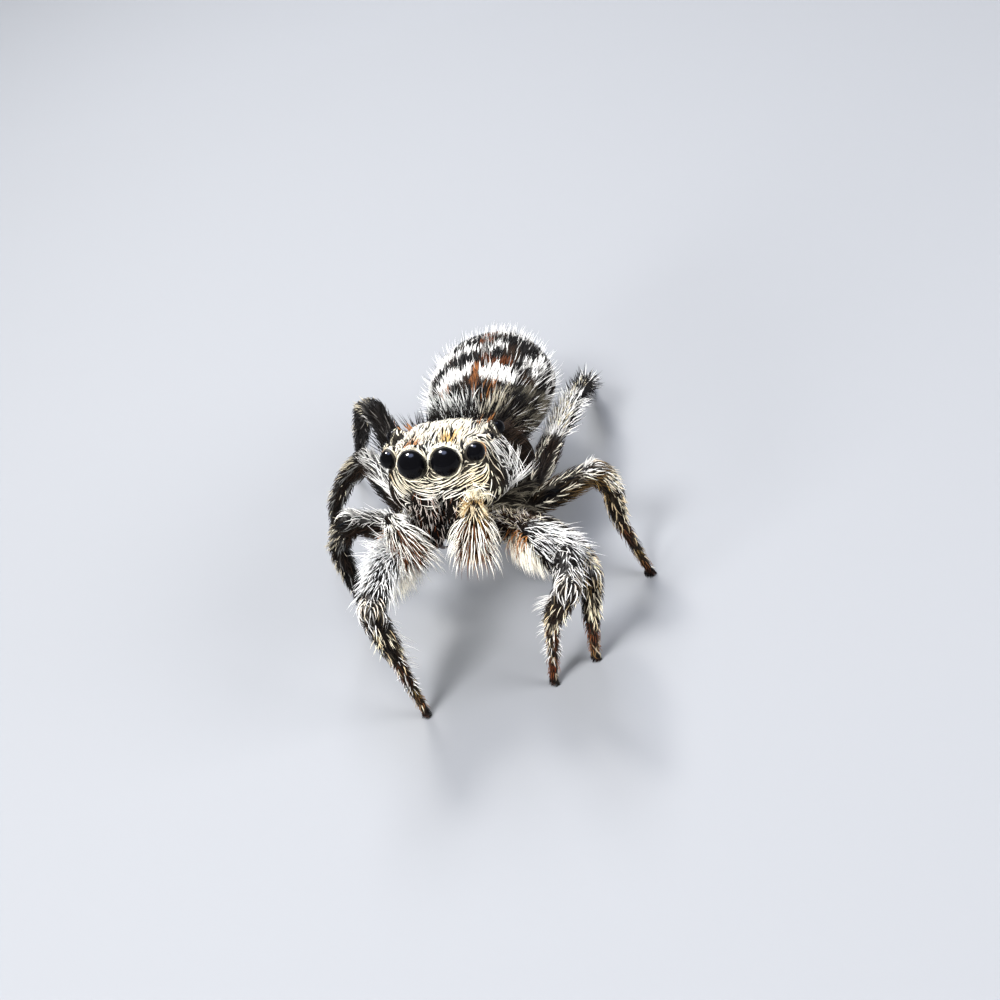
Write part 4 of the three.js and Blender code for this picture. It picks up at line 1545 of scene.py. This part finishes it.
def leg_coat(leg):
    """The lying coat of a leg. The coxae are dressed with the underside."""
    segments = LEG[leg]
    coat = Coat(f"coat_leg_{leg}", limb_unwrap(segments.values()))
    chain = list(segments.values())
    for index, (name, part) in enumerate(segments.items()):
        if name == "coxa":
            continue
        after = chain[index + 1] if index + 1 < len(chain) else None
        before = chain[index - 1] if index > 1 else None
        flow = segment_flow(part, after, before)
        density, length, height, width = HAIRS[name]
        ids = part_ids(f"{name}_{leg}")
        p, normal = scatter(ids, density * 0.5)
        n = len(p)
        under = tinted(leg_marks(leg, name, *part.place(p), p) * 0.25, spread=0.3)
        lines = lying(p, normal, flow, varied(n, *length) * 0.7, varied(n, *height) * 0.35, 0.2, 0.2, 4)
        coat.add(lines, normal, varied(n, *width), under)
        p, normal = scatter(ids, density * 1.8)
        n = len(p)
        lines = lying(p, normal, flow, varied(n, *length), varied(n, *height), 0.12, 0.2, 6)
        kept = spaced(lines, 0.052)
        lines, normal = lines[kept], normal[kept]
        middle = lines[:, 2]
        colour = tinted(leg_marks(leg, name, *part.place(middle), middle), spread=0.22)
        coat.add(lines, normal, varied(len(lines), *width), colour, shade=0.6)
        segment_strays(coat, part, ids)
    foot_pad(coat, segments["tarsus"])
    return coat


def fringe(coat, part, count, share, angle, length, width, start, end, colour, jitter, gap=0.0, way=None):
    """Long hairs from a strip of a segment: a share of its length by degrees round it from the top.

    start and end say how the hairs leave and end, as weights of way (the segment's own direction if it
    isn't given), of the direction out of the surface and, where they matter, of dorsal and front."""
    way = part.along if way is None else way
    t = varied(count, *share)
    guess, ray = part.surface(t, np.radians(varied(count, *angle)))
    roots, normals = on_skin(guess)

    def direction(along, out, dorsal=0.0, front=0.0):
        fixed = along * way + dorsal * part.dorsal + front * part.front
        return fixed + out * ray + rng.normal(0, jitter, (count, 3))

    lines = standing(roots, direction(*start), direction(*end), varied(count, *length))
    lines[..., 2] = np.maximum(lines[..., 2], ABOVE_FLOOR)
    if gap:
        kept = spaced(lines, gap)
        lines, normals = lines[kept], normals[kept]
    n = len(lines)
    coat.add(lines, normals, varied(n, *width), tinted(colour, n, 0.12), flat=0.8, shade=0.7)


# The long hair of the first pair of legs, in the order in which it is laid: the segment and the rest
# of fringe's values, with the way by name.
FINEST, FINE = (0.014, 0.02), (0.018, 0.024)
THIN, FANNED, MEDIUM, THICK = (0.024, 0.034), (0.028, 0.04), (0.03, 0.042), (0.034, 0.046)
CREAM_SKIRT = mix(CREAM, WHITE, 0.45)
SKIRT_ROOTS = mix(ORANGE, BROWN, 0.3)
LEFT_FROST = FROSTED * 0.85
LEFT_FANS = (
    ("femur", 420, (0.38, 1), (-120, 100), (0.5, 0.8), THICK, (0.9, 0.16), (1, 0), SOOT, 0.08, 0.1),
    ("femur", 900, (0.38, 0.75), (-120, 120), (0.6, 1), FANNED, (0.9, 0.16), (1, 0), LEFT_FROST, 0.08, 0.108),
    ("femur", 600, (0.65, 1), (-130, 15), (0.55, 0.95), FANNED, (0.9, 0.16), (1, 0), LEFT_FROST, 0.1, 0.115),
    ("patella", 160, (0, 0.95), (-110, 60), (0.3, 0.5), THICK, (0.9, 0.25), (1, 0), SOOT, 0.1, 0.1, "bent"),
    ("patella", 260, (0, 0.95), (-110, 0), (0.4, 0.65), FANNED, (0.9, 0.3), (1, 0.05), LEFT_FROST,
     0.1, 0.12, "bent"),
    ("femur", 80, (0.4, 1), (-120, 60), (0.65, 1), (0.02, 0.03), (0.7, 0.25), (0.95, 0.15), WHITE, 0.16),
    ("femur", 1300, (0.2, 0.62), (60, 270), (0.45, 0.85), MEDIUM, (0.8, 0.8, 0, 0.1), (1, 0.1), CREAM_SKIRT,
     0.14, 0.052, "hang"),
    ("femur", 260, (0.72, 1.1), (-140, 100), (0.6, 0.9), MEDIUM, (1, 0.14), (1, -0.05), SOOT,
     0.06, 0.095, "halfway"),
    ("femur", 380, (0.72, 1.1), (-140, 100), (0.6, 0.9), MEDIUM, (1, 0.14), (1, -0.05), LEFT_FROST,
     0.06, 0.095, "halfway"),
    ("femur", 600, (0.66, 1), (40, 280), (0.35, 0.62), (0.032, 0.046), (0.9, 0.35), (1, 0.1), SOOT,
     0.14, 0.05, "hang"),
    ("patella", 300, (0, 0.6), (35, 260), (0.3, 0.5), MEDIUM, (0.9, 0.3), (1, 0.1), SOOT, 0.14, 0.05, "bent"),
    ("femur", 200, (0.2, 0.55), (40, 180), (0.35, 0.6), (0.026, 0.036), (0.5, 1, 0, 0.2), (0.9, 0.3, 0, 0.1),
     SKIRT_ROOTS, 0.25, 0.07, "hang"),
)
RIGHT_FANS = (
    ("femur", 60, (0.2, 1), (-120, 100), (0.5, 0.8), THICK, (0.9, 0.4), (1, 0.1), SOOT, 0.08, 0.1),
    ("femur", 900, (0.2, 0.75), (-120, 120), (0.6, 1), FANNED, (0.9, 0.4), (1, 0.1), FROSTED, 0.08, 0.108),
    ("femur", 600, (0.65, 1), (-130, 70), (0.55, 0.95), FANNED, (0.9, 0.4), (1, 0.1), FROSTED, 0.1, 0.115),
    ("femur", 900, (0.45, 1), (-160, 160), (0.6, 0.95), THIN, (0.85, 0.45), (1, 0.12), FROSTED, 0.1, 0.07),
    ("patella", 500, (0, 0.7), (-160, 160), (0.45, 0.75), THIN, (0.85, 0.5), (1, 0.2), FROSTED, 0.1, 0.07),
    ("patella", 420, (0, 0.5), (-110, 80), (0.4, 0.65), FANNED, (0.9, 0.3), (1, 0.05), FROSTED,
     0.1, 0.12, "bent"),
    ("femur", 80, (0.4, 1), (-120, 60), (0.65, 1), (0.02, 0.03), (0.7, 0.8), (0.95, 0.48), WHITE, 0.16),
    ("femur", 1300, (0, 1), (60, 270), (0.4725, 0.8925), MEDIUM, (0.8, 0.8, 0, 0.1), (1, 0.1), CREAM_SKIRT,
     0.14, 0.052, "hang"),
    ("femur", 200, (0, 0.35), (40, 180), (0.35, 0.6), (0.026, 0.036), (0.5, 1, 0, 0.2), (0.9, 0.3, 0, 0.1),
     SKIRT_ROOTS, 0.25, 0.07, "hang"),
)
KNEE_LOCKS = (
    "patella", 36, (0.85, 1.05), (-60, 30), (0.22, 0.36), THIN, (1, 0.35), (1, 0.05), mix(WHITE, CREAM, 0.5),
    0.12, 0.055, "tibia",
)
ROOT_TANGLE = ((CREAM * 0.9, 130), (BROWN, 300), (mix(WHITE, RUST, 0.4), 90))
LOOSE_FRONT = (
    ("tibia", 60, (0.35, 0.9), (130, 230), (0.65, 0.95), FINE, (0.9, 0.55), (1, 0.25), WHITE * 0.75, 0.12),
    ("tibia", 16, (0.1, 1), (-60, 60), (0.22, 0.36), FINEST, (0.5, 1), (0.9, 0.6), CREAM, 0.2),
    ("metatarsus", 50, (0, 0.5), (120, 240), (0.4, 0.58), FINE, (0.6, 1), (1, 0.5), WHITE * 0.7, 0.12),
    ("metatarsus", 20, (0.4, 1), (60, 240), (0.2, 0.32), FINEST, (0.5, 1), (0.9, 0.6), WHITE * 0.8, 0.2),
    ("metatarsus", 24, (0, 1), (-90, 60), (0.18, 0.3), FINEST, (0.5, 1), (0.9, 0.6), WHITE * 0.8, 0.2),
)


def front_fringes(leg, coat):
    """The long white hairs and the cream skirt of a front leg, with black among them near the left knee."""
    segments = LEG[leg]
    femur, patella = segments["femur"].along, segments["patella"].along
    ways = {
        "bent": unit(femur * 0.6 + patella) if leg == "L1" else unit(femur + patella * 0.35),
        "halfway": unit(femur + patella * 0.6),
        "hang": unit(np.array([0, 0, -1.0]) + femur * 0.5),
        "tibia": segments["tibia"].along,
    }
    tangled = 0.42 if leg == "L1" else 0.2
    tangle = [
        ("femur", many, (-0.2, tangled), (0, 360), (0.25, 0.42), (0.022, 0.032), (0.2, 0.9, 0.3, 0.4),
         (0.3, 0.3, 0, 0.6), tone, 0.55, 0.05)
        for tone, many in ROOT_TANGLE
    ]
    fans = LEFT_FANS if leg == "L1" else RIGHT_FANS
    for name, *values in (*fans, KNEE_LOCKS, *tangle, *LOOSE_FRONT):
        way = ways[values.pop()] if isinstance(values[-1], str) else None
        fringe(coat, segments[name], *values, way=way)


# The shaggy hind left leg: segment, share of its length, how many and colour.
HIND_SHAG = (
    ("patella", (0.0, 1.0), 170, WHITE),
    ("patella", (0.2, 0.9), 120, SOOT),
    ("tibia", (0.0, 0.3), 50, WHITE),
    ("tibia", (0.32, 1.0), 170, SOOT),
    ("tibia", (0.35, 1.0), 16, WHITE),
    ("metatarsus", (0.0, 1.0), 170, SOOT),
    ("metatarsus", (0.2, 1.0), 30, WHITE),
)


def knee_tufts(leg, coat):
    """Pale tufts on the knees of a leg behind the first pair."""
    segments = LEG[leg]
    bright = 0.45 if leg[0] == "R" else 0.7 if leg == "L3" else 0.9
    many = 18 if leg == "L3" else 40
    for name, *values, tone in (
        ("femur", many, (0.88, 1.0), (-60, 60), (0.22, 0.4), THIN, (0.7, 0.8), WHITE),
        ("patella", 50, (0.1, 0.9), (-60, 60), (0.2, 0.36), (0.026, 0.036), (0.7, 0.7), CREAM),
        ("tibia", 30, (0.0, 0.9), (-50, 50), (0.2, 0.34), (0.020, 0.030), (0.7, 0.7), CREAM),
    ):
        fringe(coat, segments[name], *values, (1, 0.3), tone * bright, 0.2)


def left_tufts(coats):
    """The gold knee of the second left leg and the shag of the fourth."""
    second = LEG["L2"]
    fringe(coats["L2"], second["patella"], 90, (0.5, 1.0), (-100, 60), (0.22, 0.36), FANNED, (0.7, 0.7),
           (1, 0.2), mix(CREAM, GOLD, 0.3), 0.15, 0.06, second["tibia"].along)
    for name, share, count, tone in HIND_SHAG:
        fringe(coats["L4"], LEG["L4"][name], count, share, (0, 360), (0.35, 0.6), (0.024, 0.036), (0.8, 0.9),
               (1, 0.5), tone, 0.15, 0.075)


# ---------------------------------------------------------------- palps, jaws and underside

PALP_STRIPE = mix(RUST, BROWN, 0.4) * 1.3


def palp_arm_curls(coat, side):
    """Tangled curls on the arm of a palp, some of them dark."""
    arm = PALP[side]["arm"]
    count = 240 if side == "L" else 220
    t, around = varied(count, 0.0, 1.0), varied(count, 0, 2 * np.pi)
    guess, ray = arm.surface(t, around)
    roots, normals = on_skin(guess)
    loose = rng.normal(0, 1, (count, 3))
    first = ray * 0.9 + loose * 0.45
    last = unit(np.cross(loose, ray)) + arm.along * 0.9 - ray * 0.2
    curly = standing(roots, first, last, varied(count, 0.3, 0.5), 7)
    kept = spaced(curly, 0.06)
    tone = mix(CREAM, GOLD, 0.3) * 0.8 if side == "L" else WHITE
    tones = np.where((rng.random(len(kept)) < 0.3)[:, None], BROWN * 0.8, tone)
    coat.add(curly[kept], normals[kept], 0.026, tinted(tones, spread=0.25), flat=0.9, shade=0.6)


def palp_coat(side):
    coat = Coat(f"coat_palp_{side}", limb_unwrap(PALP[side].values()))
    for name, part in PALP[side].items():
        ids = part_ids(f"palp_{name}_{side}")
        p, normal = scatter(ids, 110)
        n = len(p)
        under = tinted(mixed(BLACK, BROWN, rng.random(n)))
        lines = lying(p, normal, segment_flow(part), varied(n, 0.2, 0.3), varied(n, 0.02, 0.06), 0.3, 0.35, 4)
        coat.add(lines, normal, varied(n, 0.022, 0.036), under)
        p, normal = scatter(ids, 260)
        n = len(p)
        start = normal * 0.8 + part.along * 0.7 + rng.normal(0, 0.2, (n, 3))
        end = normal * 0.2 + part.along + rng.normal(0, 0.2, (n, 3))
        lines = standing(p, start, end, varied(n, 0.26, 0.42), 6)
        kept = spaced(lines, 0.06)
        lines, normal = lines[kept], normal[kept]
        middle = lines[:, 2]
        colour = tinted(palp_marks(side, name, part.place(middle)[0], middle), spread=0.2)
        coat.add(lines, normal, varied(len(lines), 0.026, 0.038), colour, flat=0.8, shade=0.5)
    outer = mix(WHITE, CREAM, 0.3 if side == "R" else 0.45)
    knee = outer if side == "R" else mix(CREAM, GOLD, 0.35) * 0.85
    spread = 1.0 if side == "L" else 0.6
    for values in (
        (300, (0.1, 0.95), (0, 360), (0.4, 0.75), (0.034, 0.048), (0.6, 0.8), (1, 0.12), BROWN * 0.5,
         0.1, 0.07),
        (700, (0.15, 1), (0, 360), (0.62, 0.95), (0.022, 0.032), (0.45, spread), (1, 0.05), outer,
         0.13, 0.085),
        (90, (-0.15, 0.2), (0, 360), (0.25, 0.4), (0.022, 0.032), (0.6, 0.9), (1, 0.3), knee, 0.3),
        (200, (0.2, 0.95), (-70, 80), (0.55, 0.85), FANNED, (0.7, 0.8), (1, 0.15), PALP_STRIPE, 0.1, 0.085),
    ):
        fringe(coat, PALP[side]["brush"], *values)
    palp_arm_curls(coat, side)
    return coat


def jaw_coat():
    coat = Coat("coat_jaws", limb_unwrap([JAW["L"], JAW["R"]]))
    for side, pale, warm in (("L", 0.14, 0.20), ("R", 0.32, 0.47)):
        p, normal = scatter(part_ids(f"jaw_{side}"), 220)
        n = len(p)
        pick = rng.random(n)[:, None]
        dark = np.where(pick < warm, RUST * 1.2, BLACK)
        colour = np.where(pick < pale, mix(WHITE, ORANGE, 0.25), dark)
        flow = segment_flow(JAW[side])
        lines = lying(p, normal, flow, varied(n, 0.2, 0.4), varied(n, 0.03, 0.07), 0.25, 0.3, 5)
        coat.add(lines, normal, varied(n, 0.018, 0.028), tinted(colour))
    return coat


def underside_coat():
    """Sternum, mouth and spinnerets, then the coxae."""
    coat = Coat("coat_underside", belly_unwrap)

    def backwards(p, normal):
        return np.tile(np.array([0, 1.0, -0.2]), (len(p), 1))

    for names, density in ((("sternum", "mouth"), 110), (("spinnerets",), 160)):
        p, normal = scatter(part_ids(*names), density)
        n = len(p)
        colour = np.where((rng.random(n) < 0.5)[:, None], GREY * 0.8, BROWN)
        lines = lying(p, normal, backwards, varied(n, 0.2, 0.35), varied(n, 0.03, 0.08), 0.3, 0.3, 5)
        coat.add(lines, normal, varied(n, 0.020, 0.034), tinted(colour))
    density, length, height, width = HAIRS["coxa"]
    for leg in LEGS:
        part = LEG[leg]["coxa"]
        p, normal = scatter(part_ids(f"coxa_{leg}"), density)
        n = len(p)
        colour = tinted(leg_marks(leg, "coxa", *part.place(p), p), spread=0.25)
        lines = lying(p, normal, segment_flow(part), varied(n, *length), varied(n, *height), 0.25, 0.3, 5)
        coat.add(lines, normal, varied(n, *width), colour)
    return coat


# ---------------------------------------------------------------- the whole coat


def leg_coats():
    coats = {leg: leg_coat(leg) for leg in LEGS}
    for leg in ("L1", "R1"):
        front_fringes(leg, coats[leg])
    for leg in LEGS:
        if leg[1] != "1":
            knee_tufts(leg, coats[leg])
    left_tufts(coats)
    return coats


def every_coat():
    """Each coat with its material and slot. The order sets what each draws from rng."""
    legs = leg_coats()
    face, crown = head_coats()
    eye_rings(face)
    head_bristles(face, crown)
    cheek_curls(face)
    return [
        (face, FINE_COAT, "carapace_hair"),
        (crown, FINE_COAT, "carapace_hair"),
        (abdomen_coat(), SOFT_COAT, "abdomen_hair"),
        (jaw_coat(), FINE_COAT, "jaw_hair"),
        (underside_coat(), SOFT_COAT, "underside_hair"),
        *((palp_coat(side), FINE_COAT, "palp_hair") for side in "LR"),
        *((legs[leg], FINE_COAT, "leg_pale_hair") for leg in LEGS),
    ]


pieces = [skin, *hard_pieces]
for coat, material, slot in every_coat():
    piece = coat.build(material)
    pieces.append(piece)
for piece in pieces:
    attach(piece, "root")

# ---------------------------------------------------------------- floor, light and camera


def floor():
    size = 0.6
    corners = [(-size, -size, 0), (size, -size, 0), (size, size, 0), (-size, size, 0)]
    mesh = plain_mesh("floor", corners, [(0, 1, 2, 3)])
    material, _, shader = new_material("floor", 0.85, 0.5)
    shader.inputs["Base Color"].default_value = (0.22, 0.23, 0.25, 1)
    mesh.materials.append(material)
    placed("floor", mesh)


floor()

# Lights and camera are placed in metres.


def area_light(name, place, aim_height, size, power_w, colour, mirrored=False):
    """A round lamp aimed at the middle of the floor, so far above it. A mirrored one shows in gloss only."""
    lamp = bpy.data.lights.new(name, "AREA")
    lamp.shape = "DISK"
    lamp.size = size
    lamp.energy = power_w
    lamp.color = colour
    light = placed(name, lamp)
    light.location = place
    light.rotation_mode = "QUATERNION"
    light.rotation_quaternion = (Vector((0, 0, aim_height)) - Vector(place)).to_track_quat("-Z", "Y")
    light.visible_glossy = mirrored
    light.visible_diffuse = not mirrored


area_light("key", (-0.020, -0.060, 0.078), 0.003, 0.032, 0.148, (1.0, 0.98, 0.95))
area_light("front", (-0.045, -0.080, 0.030), 0.002, 0.030, 0.085, (1.0, 0.98, 0.95))
area_light("fill", (0.075, -0.01, 0.045), 0.003, 0.05, 0.085, (1.0, 0.98, 0.96))
area_light("rim", (-0.02, 0.075, 0.08), 0.003, 0.04, 0.10, (1, 1, 1))
area_light("sky", (0.002, 0.030, 0.10), 0.003, 0.055, 0.16, (0.55, 0.65, 1.0), mirrored=True)
area_light("glint", (-0.034, 0.045, 0.082), 0.003, 0.020, 0.5, (1, 1, 1), mirrored=True)

world = bpy.data.worlds.new("studio")
world.use_nodes = True
background = world.node_tree.nodes["Background"]
background.inputs["Color"].default_value = (0.80, 0.83, 0.88, 1)
background.inputs["Strength"].default_value = 0.36
bpy.context.scene.world = world

VIEW_AZIMUTH = math.radians(19.25)
VIEW_ELEVATION = math.radians(38.93)
VIEW_ROLL = math.radians(-16.72)
VIEW_FIELD = math.radians(40)
EYES_IN_VIEW = (-1.66, 0.864, -32.04)  # the front eyes' place in the camera's own axes


def camera():
    flat = math.cos(VIEW_ELEVATION)
    back = Vector((math.sin(VIEW_AZIMUTH) * flat, -math.cos(VIEW_AZIMUTH) * flat, math.sin(VIEW_ELEVATION)))
    level = Vector((math.cos(VIEW_AZIMUTH), math.sin(VIEW_AZIMUTH), 0))
    right = Matrix.Rotation(VIEW_ROLL, 3, back) @ level
    up = back.cross(right)
    lens = bpy.data.cameras.new("camera")
    lens.sensor_width = 36
    lens.angle = VIEW_FIELD
    lens.clip_start = 0.001
    lens.clip_end = 5
    cam = placed("camera", lens)
    x, y, z = EYES_IN_VIEW
    place = Vector(FRONT_EYES) - right * x - up * y - back * z
    cam.matrix_world = Matrix.Translation(place * MM) @ Matrix((right, up, back)).transposed().to_4x4()
    bpy.context.scene.camera = cam


camera()
bpy.context.scene.view_settings.view_transform = "Standard"
